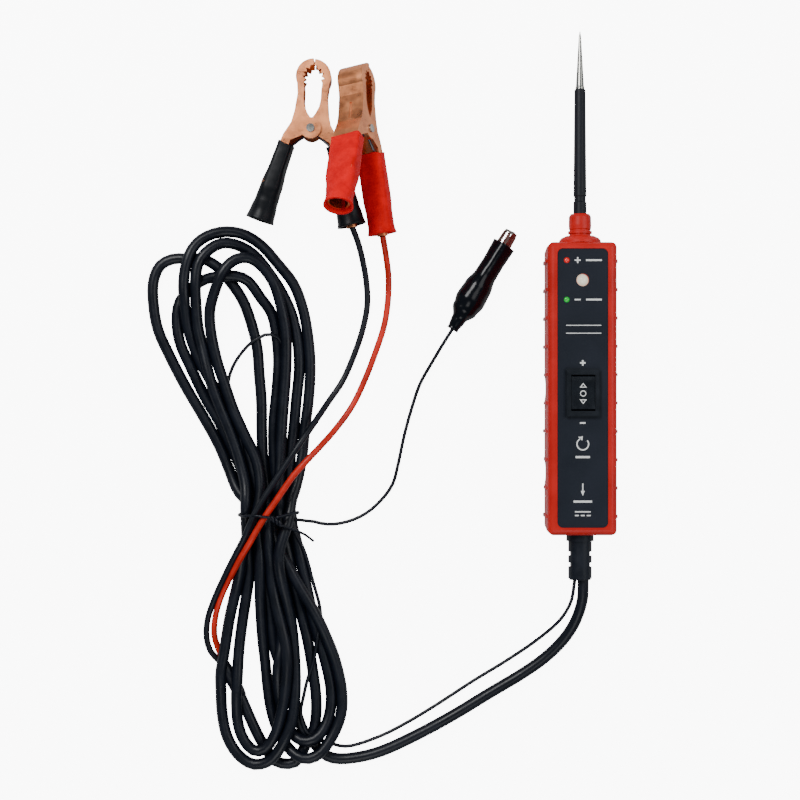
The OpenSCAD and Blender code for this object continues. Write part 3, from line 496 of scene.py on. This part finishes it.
def print_signs(name, node, strokes, ink):
    """Print strokes on a node's top surface. A stroke is its points in millimetres, its width
    (one, or one at each point) and whether it closes on itself."""
    height = surface_under(node)
    verts, faces = [], []
    for points, width, closed in strokes:
        line = np.array(points, float)
        widths = np.broadcast_to(np.asarray(width, float), (len(line),))
        ahead = np.roll(line, -1, axis=0) - line
        behind = line - np.roll(line, 1, axis=0)
        if not closed:
            ahead[-1], behind[0] = behind[-1], ahead[0]
        ahead /= np.linalg.norm(ahead, axis=1)[:, None]
        behind /= np.linalg.norm(behind, axis=1)[:, None]
        middle = (ahead + behind) / np.linalg.norm(ahead + behind, axis=1)[:, None]
        mitre = np.maximum((middle * ahead).sum(1), 0.4)
        start = len(verts)
        for point, head, wide in zip(line, middle, widths / 2 / mitre):
            left = (point + wide * np.array([-head[1], head[0]])) * MM
            right = (point - wide * np.array([-head[1], head[0]])) * MM
            root, top = -PRINT_ROOT, PRINT_TOP
            for (x, y), rise in ((left, root), (right, root), (right, top), (left, top)):
                verts.append((x, y, height(x, y) + rise * MM))
        count = len(line)
        for r in range(count if closed else count - 1):
            here, after = start + 4 * r, start + 4 * ((r + 1) % count)
            faces += [(here + k, here + (k + 1) % 4, after + (k + 1) % 4, after + k) for k in range(4)]
        if not closed:
            end = start + 4 * (count - 1)
            faces += [(start + 3, start + 2, start + 1, start), (end, end + 1, end + 2, end + 3)]
    return object_from(name, verts, faces, ink, smooth=False)


def bar(x0, x1, y, width):
    """A straight printed bar across X."""
    return [(x0 + (x1 - x0) * k / 6, y) for k in range(7)], width, False


def upright(x, y0, y1, width):
    """A straight printed bar along Y."""
    return [(x, y0 + (y1 - y0) * k / 6) for k in range(7)], width, False


def plus_sign(x, y, size, width):
    """A printed plus sign."""
    return [
        bar(x - size / 2, x + size / 2, y, width),
        upright(x, y + size / 2, y + width / 2, width),
        upright(x, y - width / 2, y - size / 2, width),
    ]


def ring_sign(x, y, radius, width, start=0, sweep=360):
    """A printed circle, or an arc of one."""
    count = max(8, round(sweep / 9))
    whole = sweep == 360
    angles = [math.radians(start + sweep * k / (count if whole else count - 1)) for k in range(count)]
    return [(x + radius * math.cos(a), y + radius * math.sin(a)) for a in angles], width, whole


def triangle_sign(x, y, half, tall, width):
    """A printed outline of a triangle that points up, or down where tall is negative."""
    corners = [(x - half, y - tall / 2), (x + half, y - tall / 2), (x, y + tall / 2)]
    points = []
    for (ax, ay), (bx, by) in zip(corners, corners[1:] + corners[:1]):
        points += [(ax + (bx - ax) * k / 6, ay + (by - ay) * k / 6) for k in range(6)]
    return points, width, True


# ---------- settings that a user would change ----------


def colour(name, code, description):
    """A colour setting, from an sRGB hex value."""
    return bpy.props.FloatVectorProperty(
        name=name, description=description, subtype="COLOR", size=4, min=0, max=1, default=rgb(code)
    )


def length(name, default, description):
    """A length setting, in metres."""
    return bpy.props.FloatProperty(
        name=name, description=description, default=default, min=0.0002, unit="LENGTH", subtype="DISTANCE"
    )


class TestLightSettings(bpy.types.PropertyGroup):
    """Sizes and colours of the test light's finishes and cords."""

    housing_red: colour("Housing red", "#CC1C15", "Colour of the moulded housing and the probe's collar")
    label_dark: colour("Label", "#161B26", "Colour of the printed film on the front")
    ink: colour("Ink", "#FBFBF6", "Colour of the printed signs")
    jacket_black: colour("Black cords", "#0A0E18", "Colour of the black jackets and leads")
    lead_red: colour("Red lead", "#CB2512", "Colour of the red lead's insulation")
    grip_red: colour("Red sleeves", "#F40010", "Colour of the red clamp's sleeves")
    grip_black: colour("Black sleeves", "#07090F", "Colour of the black sleeves and the boot")
    copper: colour("Copper plate", "#FF9E6B", "Colour of the clamps' plating")
    cable_width: length("Supply cable", 0.005, "Diameter of the jacketed supply cable")
    lead_width: length("Clamp leads", 0.0028, "Diameter of the red and black leads")
    ground_width: length("Ground lead", 0.0016, "Diameter of the thin ground lead")
    tie_width: length("Wire tie", 0.0012, "Diameter of the wire that ties the hank")


def settings():
    """The scene's settings for the test light."""
    return bpy.context.scene.test_light


def shade(colour_value, factor):
    """The same colour, darker or lighter by a factor."""
    return (*[min(1.0, c * factor) for c in colour_value[:3]], 1.0)


def give(material, *nodes):
    """Put one material on the whole of each CAD node."""
    for node in nodes:
        for place in CAD_NODES[node].material_slots:
            place.material = material


# ---------- finishes ----------


def moulded_abs(name, base, grain=0.6):
    """Satin moulded ABS: an even colour under a fine spark-eroded texture that softens its shine."""
    # the grain is drawn at twice its real size, so that it shows
    return finish(name, shade(base, 0.86), shade(base, 1.1), (0.3, 0.44), patch=18, grain=grain,
                  height=0.012, IOR=1.5, Specular_IOR_Level=0.3)


def extruded_pvc(name, base, rough=(0.3, 0.46)):
    """Extruded PVC: a smooth skin, clouded in patches by a little bloom."""
    return finish(name, shade(base, 0.8), shade(base, 1.35), rough, patch=9, grain=0.9, height=0.01,
                  IOR=1.48, Specular_IOR_Level=0.35)


def dipped_pvc(name, base, rough=(0.16, 0.3), shine=0.3):
    """Dip-moulded PVC: a soft, slightly uneven skin, wet-looking where rough is low."""
    return finish(name, shade(base, 0.8), shade(base, 1.15), rough, patch=6, grain=2.2, height=0.03,
                  IOR=1.47, Specular_IOR_Level=shine)


def stamped_metal(name, base, rough=(0.24, 0.42), stretch=(1, 1, 1), grain=0.35, height=0.006):
    """Plated steel: tarnish in patches and a fine grain, which stretch draws out into rolling marks."""
    return finish(name, shade(base, 0.72), shade(base, 1.12), rough, patch=7, grain=grain, height=height,
                  stretch=stretch, Metallic=1.0)


def clear_epoxy(name, base, glow):
    """A lamp's cast epoxy: glossy, tinted and partly clear, with a faint glow of its own."""
    material = finish(name, shade(base, 0.85), shade(base, 1.1), (0.05, 0.14), patch=2, grain=0.8,
                      height=0.004, IOR=1.52, Transmission_Weight=0.35, Coat_Weight=0.5)
    surface = material.node_tree.nodes["Principled BSDF"]
    surface.inputs["Emission Color"].default_value = base
    surface.inputs["Emission Strength"].default_value = glow
    return material


def glowing_paper():
    """Matt paper on a light table: it shows pure white, and gives the parts only what it reflects."""
    paper = finish("Matt paper floor", rgb("#D8D8D8"), rgb("#DCDCDC"), (0.8, 0.9), patch=80,
                   grain=0.8, height=0.01)
    tree = paper.node_tree
    seen = add(tree, "LightPath").outputs["Is Camera Ray"]
    glow = add(tree, "Math", {"operation": "MULTIPLY", 1: 9.0}, {0: seen}).outputs["Value"]
    surface = tree.nodes["Principled BSDF"].inputs
    surface["Emission Color"].default_value = (1, 1, 1, 1)
    tree.links.new(glow, surface["Emission Strength"])
    return paper


# ---------- operators ----------


CAMERA_PLACE = (-0.0788, -0.0414, 0.7)
SENSOR_WIDTH, LENS = 36, 70.8  # in millimetres
FLOOR_HALF = 8  # half of the floor's side, in metres
SKY_COLOUR, SKY_STRENGTH = (0.72, 0.85, 1, 1), 0.21
LAMP_AIM = Vector((-0.07, -0.04, 0))
# Each lamp's name, place, diameter in metres and watts
LAMPS = (
    ("key light", (-0.45, 0.5, 0.8), 0.5, 7.5),
    ("fill light", (0.6, 0.1, 0.7), 0.7, 2.6),
    ("front light", (-0.1, -0.7, 0.7), 0.6, 2.2),
)


class TESTLIGHT_OT_stage(bpy.types.Operator):
    """Set up the camera straight above, soft studio light and a plain pale floor"""

    bl_idname = "test_light.stage"
    bl_label = "Stage"

    def execute(self, context):
        scene = bpy.context.scene
        lens = bpy.data.cameras.new("camera")
        lens.sensor_width = SENSOR_WIDTH
        lens.lens = LENS
        lens.clip_end = 10
        camera = bpy.data.objects.new("camera", lens)
        camera.location = CAMERA_PLACE
        scene.collection.objects.link(camera)
        scene.camera = camera

        half = FLOOR_HALF
        corners = [(-half, -half, 0), (half, -half, 0), (half, half, 0), (-half, half, 0)]
        object_from("floor", corners, [(0, 1, 2, 3)], glowing_paper())

        world = bpy.data.worlds.new("studio")
        world.use_nodes = True
        backdrop = world.node_tree.nodes["Background"]
        backdrop.inputs["Color"].default_value = SKY_COLOUR
        backdrop.inputs["Strength"].default_value = SKY_STRENGTH
        scene.world = world
        for name, place, size, power in LAMPS:
            lamp = bpy.data.lights.new(name, "AREA")
            lamp.shape = "DISK"
            lamp.size = size
            lamp.energy = power
            light = bpy.data.objects.new(name, lamp)
            light.location = place
            aim = LAMP_AIM - Vector(place)
            light.rotation_euler = aim.to_track_quat("-Z", "Y").to_euler()
            scene.collection.objects.link(light)
        return {"FINISHED"}


class TESTLIGHT_OT_cords(bpy.types.Operator):
    """Lay the supply cable in its hank, the ground lead and the two clamp leads"""

    bl_idname = "test_light.cords"
    bl_label = "Cords"

    def execute(self, context):
        sizes = settings()
        widths = (sizes.cable_width, sizes.lead_width, sizes.ground_width)
        cable_d, lead_d, ground_d = (width / MM for width in widths)
        jacket = extruded_pvc("Extruded black PVC jacket", sizes.jacket_black)
        thin = extruded_pvc("Extruded black PVC lead", sizes.jacket_black, (0.34, 0.5))
        red = extruded_pvc("Extruded red PVC lead", sizes.lead_red)
        black_line = smooth_line(BLACK_ROUTE, STEP)
        red_line = smooth_line(RED_ROUTE, STEP)

        turns = [p for start, text in HANK_TURNS for p in flat_points(text, start)]
        main_line = smooth_line(MAIN_FEED + turns, STEP)
        leads = [(black_line[:-3], lead_d), (red_line[:-3], lead_d)]
        fixed_start = sum(1 for p in main_line if p[0] > -100)
        main_line = spaced(settle(main_line, cable_d, leads, (fixed_start, 2)), STEP)

        ground = smooth_line(GROUND_FEED + flat_points(GROUND_TURN, 5) + GROUND_TAIL, STEP)
        feed_end = sum(1 for p in ground if p[0] > -108 and p[1] < -110)
        tail = sum(1 for p in ground if p[0] > -118 and p[1] > -98)
        ground = settle(ground, ground_d, [(main_line, cable_d), *leads], (feed_end, tail))

        pieces = {}
        for name, line, width, finish_used in (
            ("main_cable_run", main_line, cable_d, jacket),
            ("ground_lead", ground, ground_d, thin),
            ("black_clamp_lead", black_line, lead_d, thin),
            ("red_clamp_lead", red_line, lead_d, red),
        ):
            pieces[name] = cord_curve(name, line, width * MM, finish_used)
            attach(pieces[name], "root")

        # a shrunk-on sleeve closes the jacket where the two leads part, and lies higher as it is wider
        onward = (main_line[-1] - main_line[-3]) / 2
        beyond = [main_line[-1] + onward, main_line[-1] + 1.8 * onward]
        last = np.vstack([main_line[-5:], *beyond]) + (0, 0, 0.5)
        sizes_along = [0.0056, 0.0058, 0.0059, 0.006, 0.006, 0.006, 0.0057]
        sleeve = tube("lead_joint", last * MM, sizes_along, thin, 20)
        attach(sleeve, "root")
        self.tie(main_line, sizes)

        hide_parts("main_cable", "cable_hank")
        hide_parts("ground_lead_feed", "ground_lead_tail")
        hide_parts("black_lead")
        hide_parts("red_lead")
        return {"FINISHED"}

    def tie(self, main_line, sizes):
        """The wire tie: a ring round the waist and over the leads, twisted, with two free ends."""
        black_wire = extruded_pvc("Plastic-coated tie wire", sizes.jacket_black, (0.3, 0.42))
        near = main_line[np.abs(main_line[:, 1] - WAIST[1]) < 4]
        left, right, top = near[:, 0].min() - 3.1, near[:, 0].max() + 3.1, near[:, 2].max() + 3.1
        y = WAIST[1]
        ring = [
            (left + 5, y, 1), (left + 1, y + 0.3, 2), (left, y + 0.3, 5), (left, y, 9),
            (left + 2.5, y - 0.2, top - 0.6), (-144.5, y + 0.2, 15.6), (-141.5, y + 0.3, 17.4),
            (-137, y - 0.2, 17.7), (-134.3, y - 0.7, 16.6), (-132.2, y - 0.6, top + 0.4),
            (right - 4, y + 0.4, top - 0.3), (right - 0.4, y + 1, 9.5), (right, y + 0.8, 5),
            (right - 1, y + 0.3, 2), (right - 5, y, 1), (left + 5, y, 1),
        ]
        lines = [smooth_line(ring, 0.8)]
        # the twist: two strands round each other, then the ends
        spine = smooth_line([(-134.8, y - 0.6, 17.2), (-132.6, y - 2, 17), (-130.4, y - 3.8, 15.9)], 0.35)
        angle = np.arange(len(spine)) * 0.55
        for phase in (0, math.pi):
            across, up = np.cos(angle + phase), np.sin(angle + phase)
            lines.append(spine + np.stack([across * 0.35, across * 0.62, up * 0.62], axis=1))
        long_end = [
            (-130.4, y - 3.8, 15.9), (-126.5, y - 5.6, 13.6), (-121, y - 8.2, 9.6), (-117, y - 11.6, 5.8),
        ]
        short_end = [(-132.5, y - 0.4, 17), (-128, y + 0.7, 15.2), (-123, y + 1.8, 13.2)]
        lines += [smooth_line(long_end, 0.8), smooth_line(short_end, 0.8)]
        verts, faces = [], []
        for line in lines:
            radii = np.full(len(line), sizes.tie_width / 2)
            faces += [tuple(len(verts) + k for k in face) for face in rings_to_faces(len(line), 10, True)]
            verts += list(tube_rings(line * MM, radii, 10))
        tie = object_from("wire_tie", verts, faces, black_wire)
        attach(tie, "root")
        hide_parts("hank_tie")


class TESTLIGHT_OT_housing(bpy.types.Operator):
    """Give the red housing, its collar, its screws and its label film their finishes"""

    bl_idname = "test_light.housing"
    bl_label = "Housing"

    def execute(self, context):
        colours = settings()
        give(moulded_abs("Satin moulded red ABS", colours.housing_red), "front_housing", "rear_housing")
        give(moulded_abs("Satin moulded red ABS, collar", colours.housing_red, 0.4), "probe_collar")
        give(
            finish("Screen-printed polyester film", shade(colours.label_dark, 0.85),
                   shade(colours.label_dark, 1.15), (0.4, 0.5), patch=25, grain=0.35, height=0.004,
                   IOR=1.5, Specular_IOR_Level=0.3),
            "front_label",
        )
        give(stamped_metal("Zinc-plated screw steel", rgb("#8F9294")), "housing_screws")
        give(dipped_pvc("Moulded black PVC strain relief", rgb("#161A23"), (0.34, 0.5)), "strain_relief")
        return {"FINISHED"}


# How far along the label each printed row lies, in millimetres
RED_LAMP_ROW, GREEN_LAMP_ROW = 18.9, 1.9
NAME_ROWS = (-9.2, -12.6)
PLUS_ROW, ROCKER_ROW, MINUS_ROW = -25.4, -38.5, -51.3
RESET_ROW, RESET_BAR_ROW = -60.4, -66
ARROW_ROW, PROBE_BAR_ROW = -77.4, -85.2
CURRENT_ROW = -89.6


class TESTLIGHT_OT_print(bpy.types.Operator):
    """Print plain signs on the label: plus, minus, a reset arrow, direct current and plain bars"""

    bl_idname = "test_light.print"
    bl_label = "Printed signs"

    def execute(self, context):
        ink = finish("Screen-printed white ink", shade(settings().ink, 0.9), settings().ink, (0.42, 0.55),
                     patch=3, grain=0.25, height=0.003)
        strokes = plus_sign(-2.2, RED_LAMP_ROW, 2.6, 0.6) + [bar(1.4, 8.2, RED_LAMP_ROW, 0.75)]
        strokes += [bar(-3.5, -0.9, GREEN_LAMP_ROW, 0.6), bar(1.4, 8.2, GREEN_LAMP_ROW, 0.75)]
        strokes += [bar(-7.2, 8, y, 0.35) for y in NAME_ROWS]
        strokes += plus_sign(0, PLUS_ROW, 2.4, 0.7) + [bar(-1.2, 1.2, MINUS_ROW, 0.7)]
        # a ring that ends in an arrowhead: the breaker resets itself
        strokes.append(ring_sign(0, RESET_ROW, 2.5, 0.55, 110, 290))
        head = [(-0.1, RESET_ROW + 2.5), (-0.9, RESET_ROW + 2.6), (-1.9, RESET_ROW + 3.1)]
        strokes += [(head, [1.9, 1.1, 0.1], False), bar(-3.1, 3.1, RESET_BAR_ROW, 0.9)]
        # an arrow down to a bar: the probe
        head = [(0, ARROW_ROW - 3.2), (0, ARROW_ROW - 4.2), (0, ARROW_ROW - 5.2)]
        strokes += [upright(0, ARROW_ROW, ARROW_ROW - 3.2, 0.5), (head, [1.7, 0.9, 0.1], False)]
        strokes.append(bar(-4, 4, PROBE_BAR_ROW, 0.9))
        # direct current: a bar over three dashes
        strokes.append(bar(-3.4, 3.4, CURRENT_ROW, 0.55))
        strokes += [bar(x, x + 1.7, CURRENT_ROW - 1.6, 0.55) for x in (-3.4, -0.85, 1.7)]
        signs = print_signs("label_signs", "front_label", strokes, ink)
        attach(signs, "root")
        rocker_strokes = [
            triangle_sign(0, ROCKER_ROW + 3.4, 1.2, 1.55, 0.36),
            ring_sign(0, ROCKER_ROW - 0.1, 1.15, 0.36),
            triangle_sign(0, ROCKER_ROW - 3.6, 1.2, -1.55, 0.36),
        ]
        marks = print_signs("rocker_signs", "rocker_button", rocker_strokes, ink)
        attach(marks, "rocker")
        return {"FINISHED"}


class TESTLIGHT_OT_switch_and_lamps(bpy.types.Operator):
    """Give the rocker switch, the two indicator lamps and the work light their finishes"""

    bl_idname = "test_light.switch_and_lamps"
    bl_label = "Switch and lamps"

    def execute(self, context):
        shell = finish("Moulded black nylon", rgb("#0E1218"), rgb("#151A22"), (0.3, 0.42), patch=8,
                       grain=0.4, height=0.008, IOR=1.5, Specular_IOR_Level=0.35)
        button = finish("Polished black nylon button", rgb("#0C1016"), rgb("#13181F"), (0.22, 0.34),
                        patch=6, grain=0.5, height=0.005, IOR=1.5, Specular_IOR_Level=0.4)
        give(shell, "switch_body")
        give(button, "rocker_button")
        give(clear_epoxy("Red cast epoxy", rgb("#E0261C"), 0.5), "red_led")
        give(clear_epoxy("Green cast epoxy", rgb("#18B83A"), 0.55), "green_led")
        give(clear_epoxy("Clear cast epoxy over phosphor", rgb("#F6EBD4"), 0.6), "work_light")
        return {"FINISHED"}


class TESTLIGHT_OT_probe(bpy.types.Operator):
    """Give the steel probe, its needle and its insulating sleeve their finishes"""

    bl_idname = "test_light.probe"
    bl_label = "Probe"

    def execute(self, context):
        # turning marks run round the rod, so the grain is squeezed along it
        steel = stamped_metal("Turned and polished tool steel", rgb("#B9B8B0"), (0.16, 0.3),
                              (0.02, 1, 0.02), 0.25)
        give(steel, "probe_needle", "probe_rod")
        sleeve = extruded_pvc("Shrunk-on polyolefin sleeve", settings().jacket_black, (0.4, 0.56))
        give(sleeve, "probe_insulator")
        return {"FINISHED"}


def grip_shape(width):
    """Sizes down a clamp's sleeve, in millimetres: square over the handle, round over its barrel."""
    return [
        (-4.4, 3.45, width / 2 + 1, 4.6), (-14, 3.75, width / 2 + 1, 4.4),
        (-24.2, 4.75, width / 2 + 0.95, 3.4), (-30.5, 5.15, width / 4 + 3.2, 2.5),
        (-35.5, 5.8, 5.85, 2.0), (-39.6, 6.2, 6.2, 2.0),
    ]


# Sizes down the ground clip's boot: square in front, swollen over the handles, then a narrow neck
BOOT_SHAPE = [
    (13.5, 4.9, 4.1, 3.4), (4, 4.8, 3.9, 3), (-2, 5.1, 4, 2.8), (-9, 6.5, 5.4, 2.5),
    (-15, 7.1, 5.9, 2.3), (-20, 6, 5.2, 2.2), (-25, 3.3, 3.2, 2), (-30.2, 2.5, 2.4, 2),
]


class TESTLIGHT_OT_clamps(bpy.types.Operator):
    """Finish the two battery clamps and make their sleeves and springs"""

    bl_idname = "test_light.clamps"
    bl_label = "Battery clamps"

    def execute(self, context):
        colours = settings()
        copper = stamped_metal("Copper-plated sheet steel", colours.copper, (0.26, 0.44), (0.12, 1, 1),
                               0.5, 0.01)
        spring_steel = stamped_metal("Oiled spring wire", rgb("#77777A"), (0.26, 0.4))
        nickel = stamped_metal("Nickel-plated rivet", rgb("#B9B6AE"), (0.2, 0.34))
        grips = {
            "black": dipped_pvc("Dipped black PVC sleeve", colours.grip_black, (0.36, 0.5)),
            "red": dipped_pvc("Dipped red PVC sleeve", colours.grip_red, (0.38, 0.5), 0.1),
        }
        for side, place in (("black", BLACK_CLAMP), ("red", RED_CLAMP)):
            give(copper, f"{side}_clamp_fixed_jaw", f"{side}_clamp_moving_jaw", f"{side}_clamp_crimp")
            give(nickel, f"{side}_clamp_rivet")
            leg = [(-13, -12.5), (-10.5, -9), (-6, -5), (-2.65, -2)]
            node, jaw = f"{side}_clamp_spring", f"{side}_clamp_jaw"
            coil_spring(node, place, 1.2, 2.25, 4.5, leg, spring_steel)
            for part, width, mirror, body in (
                ("moving_sleeve", 12.0, Matrix.Identity(4), f"{side}_clamp_jaw"),
                ("fixed_sleeve", 9.9, MIRROR, "root"),
            ):
                sleeve = soft_shell(
                    f"{side}_clamp_{part[:-7]}_grip", grip_shape(width), 0.85, place @ mirror @ HANDLE,
                    grips[side], crease=0.06, wave=0.4,
                )
                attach(sleeve, body)
                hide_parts(f"{side}_clamp_{part}")
        return {"FINISHED"}


class TESTLIGHT_OT_clip(bpy.types.Operator):
    """Finish the small ground clip and make its soft boot and its spring"""

    bl_idname = "test_light.clip"
    bl_label = "Ground clip"

    def execute(self, context):
        nickel = stamped_metal("Nickel-plated sheet steel", rgb("#A39C92"), (0.24, 0.42), (1, 0.2, 1),
                               0.8, 0.02)
        give(nickel, "ground_clip_fixed_jaw", "ground_clip_moving_jaw", "ground_clip_rivet")
        leg = [(-3.3, -10), (-2.2, -5), (-1.22, -1.6)]
        coil_spring("ground_clip_spring", GROUND_CLIP, 0.6, 1.22, 3.5, leg, nickel)
        black = dipped_pvc("Dipped black PVC boot", settings().grip_black, (0.14, 0.24))
        boot = soft_shell("ground_clip_soft_boot", BOOT_SHAPE, 0.8, GROUND_CLIP, black, rows=90, lip=0.2,
                          crease=0.05)
        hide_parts("ground_clip_boot")
        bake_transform(boot)
        return {"FINISHED"}


class TESTLIGHT_OT_inner_parts(bpy.types.Operator):
    """Give the parts inside the housing their finishes"""

    bl_idname = "test_light.inner_parts"
    bl_label = "Inner parts"

    def execute(self, context):
        board = finish("Solder-masked glass-fibre board", rgb("#0E4A26"), rgb("#1A6136"), (0.25, 0.4),
                       patch=4, grain=0.4, height=0.02, stretch=(1, 0.3, 1))
        chip = finish("Transfer-moulded epoxy chip", rgb("#131416"), rgb("#212225"), (0.45, 0.6),
                      patch=3, grain=0.3)
        brass = stamped_metal("Turned brass", rgb("#B89A55"), (0.2, 0.34))
        give(board, "circuit_board")
        give(chip, "board_parts", "thermal_breaker")
        give(brass, "probe_socket", "switch_terminals")
        colours = settings()
        black = extruded_pvc("Stranded wire's black PVC", colours.jacket_black)
        give(black, "black_wire", "cable_end", "ground_lead_end", "cable_anchor")
        give(extruded_pvc("Stranded wire's red PVC", colours.lead_red), "red_wire")
        give(extruded_pvc("Stranded wire's white PVC", rgb("#C9C8C2")), "probe_wire")
        return {"FINISHED"}


class TESTLIGHT_OT_cord_facts(bpy.types.Operator):
    """An empty step: it does nothing"""

    bl_idname = "test_light.cord_facts"
    bl_label = "Cord facts"

    def execute(self, context):
        return {"FINISHED"}


STEPS = (
    TESTLIGHT_OT_stage,
    TESTLIGHT_OT_cords,
    TESTLIGHT_OT_housing,
    TESTLIGHT_OT_print,
    TESTLIGHT_OT_switch_and_lamps,
    TESTLIGHT_OT_probe,
    TESTLIGHT_OT_clamps,
    TESTLIGHT_OT_clip,
    TESTLIGHT_OT_inner_parts,
    TESTLIGHT_OT_cord_facts,
)


class TESTLIGHT_PT_steps(bpy.types.Panel):
    """The test light's settings and its build steps, in order."""

    bl_idname = "TESTLIGHT_PT_steps"
    bl_label = "Test light"
    bl_space_type = "VIEW_3D"
    bl_region_type = "UI"
    bl_category = "Test light"

    def draw(self, context):
        """List every setting, then a button for every step."""
        values = context.scene.test_light
        for key in TestLightSettings.__annotations__:
            self.layout.prop(values, key)
        for step in STEPS:
            self.layout.operator(step.bl_idname)


def register():
    """Register the settings, the steps and the panel."""
    for kind in (TestLightSettings, *STEPS, TESTLIGHT_PT_steps):
        bpy.utils.register_class(kind)
    bpy.types.Scene.test_light = bpy.props.PointerProperty(type=TestLightSettings)


def unregister():
    """Take them away again."""
    del bpy.types.Scene.test_light
    for kind in (TESTLIGHT_PT_steps, *reversed(STEPS), TestLightSettings):
        bpy.utils.unregister_class(kind)


def main():
    register()
    for step in STEPS:
        group, name = step.bl_idname.split(".")
        getattr(getattr(bpy.ops, group), name)()


if __name__ == "__main__":
    main()
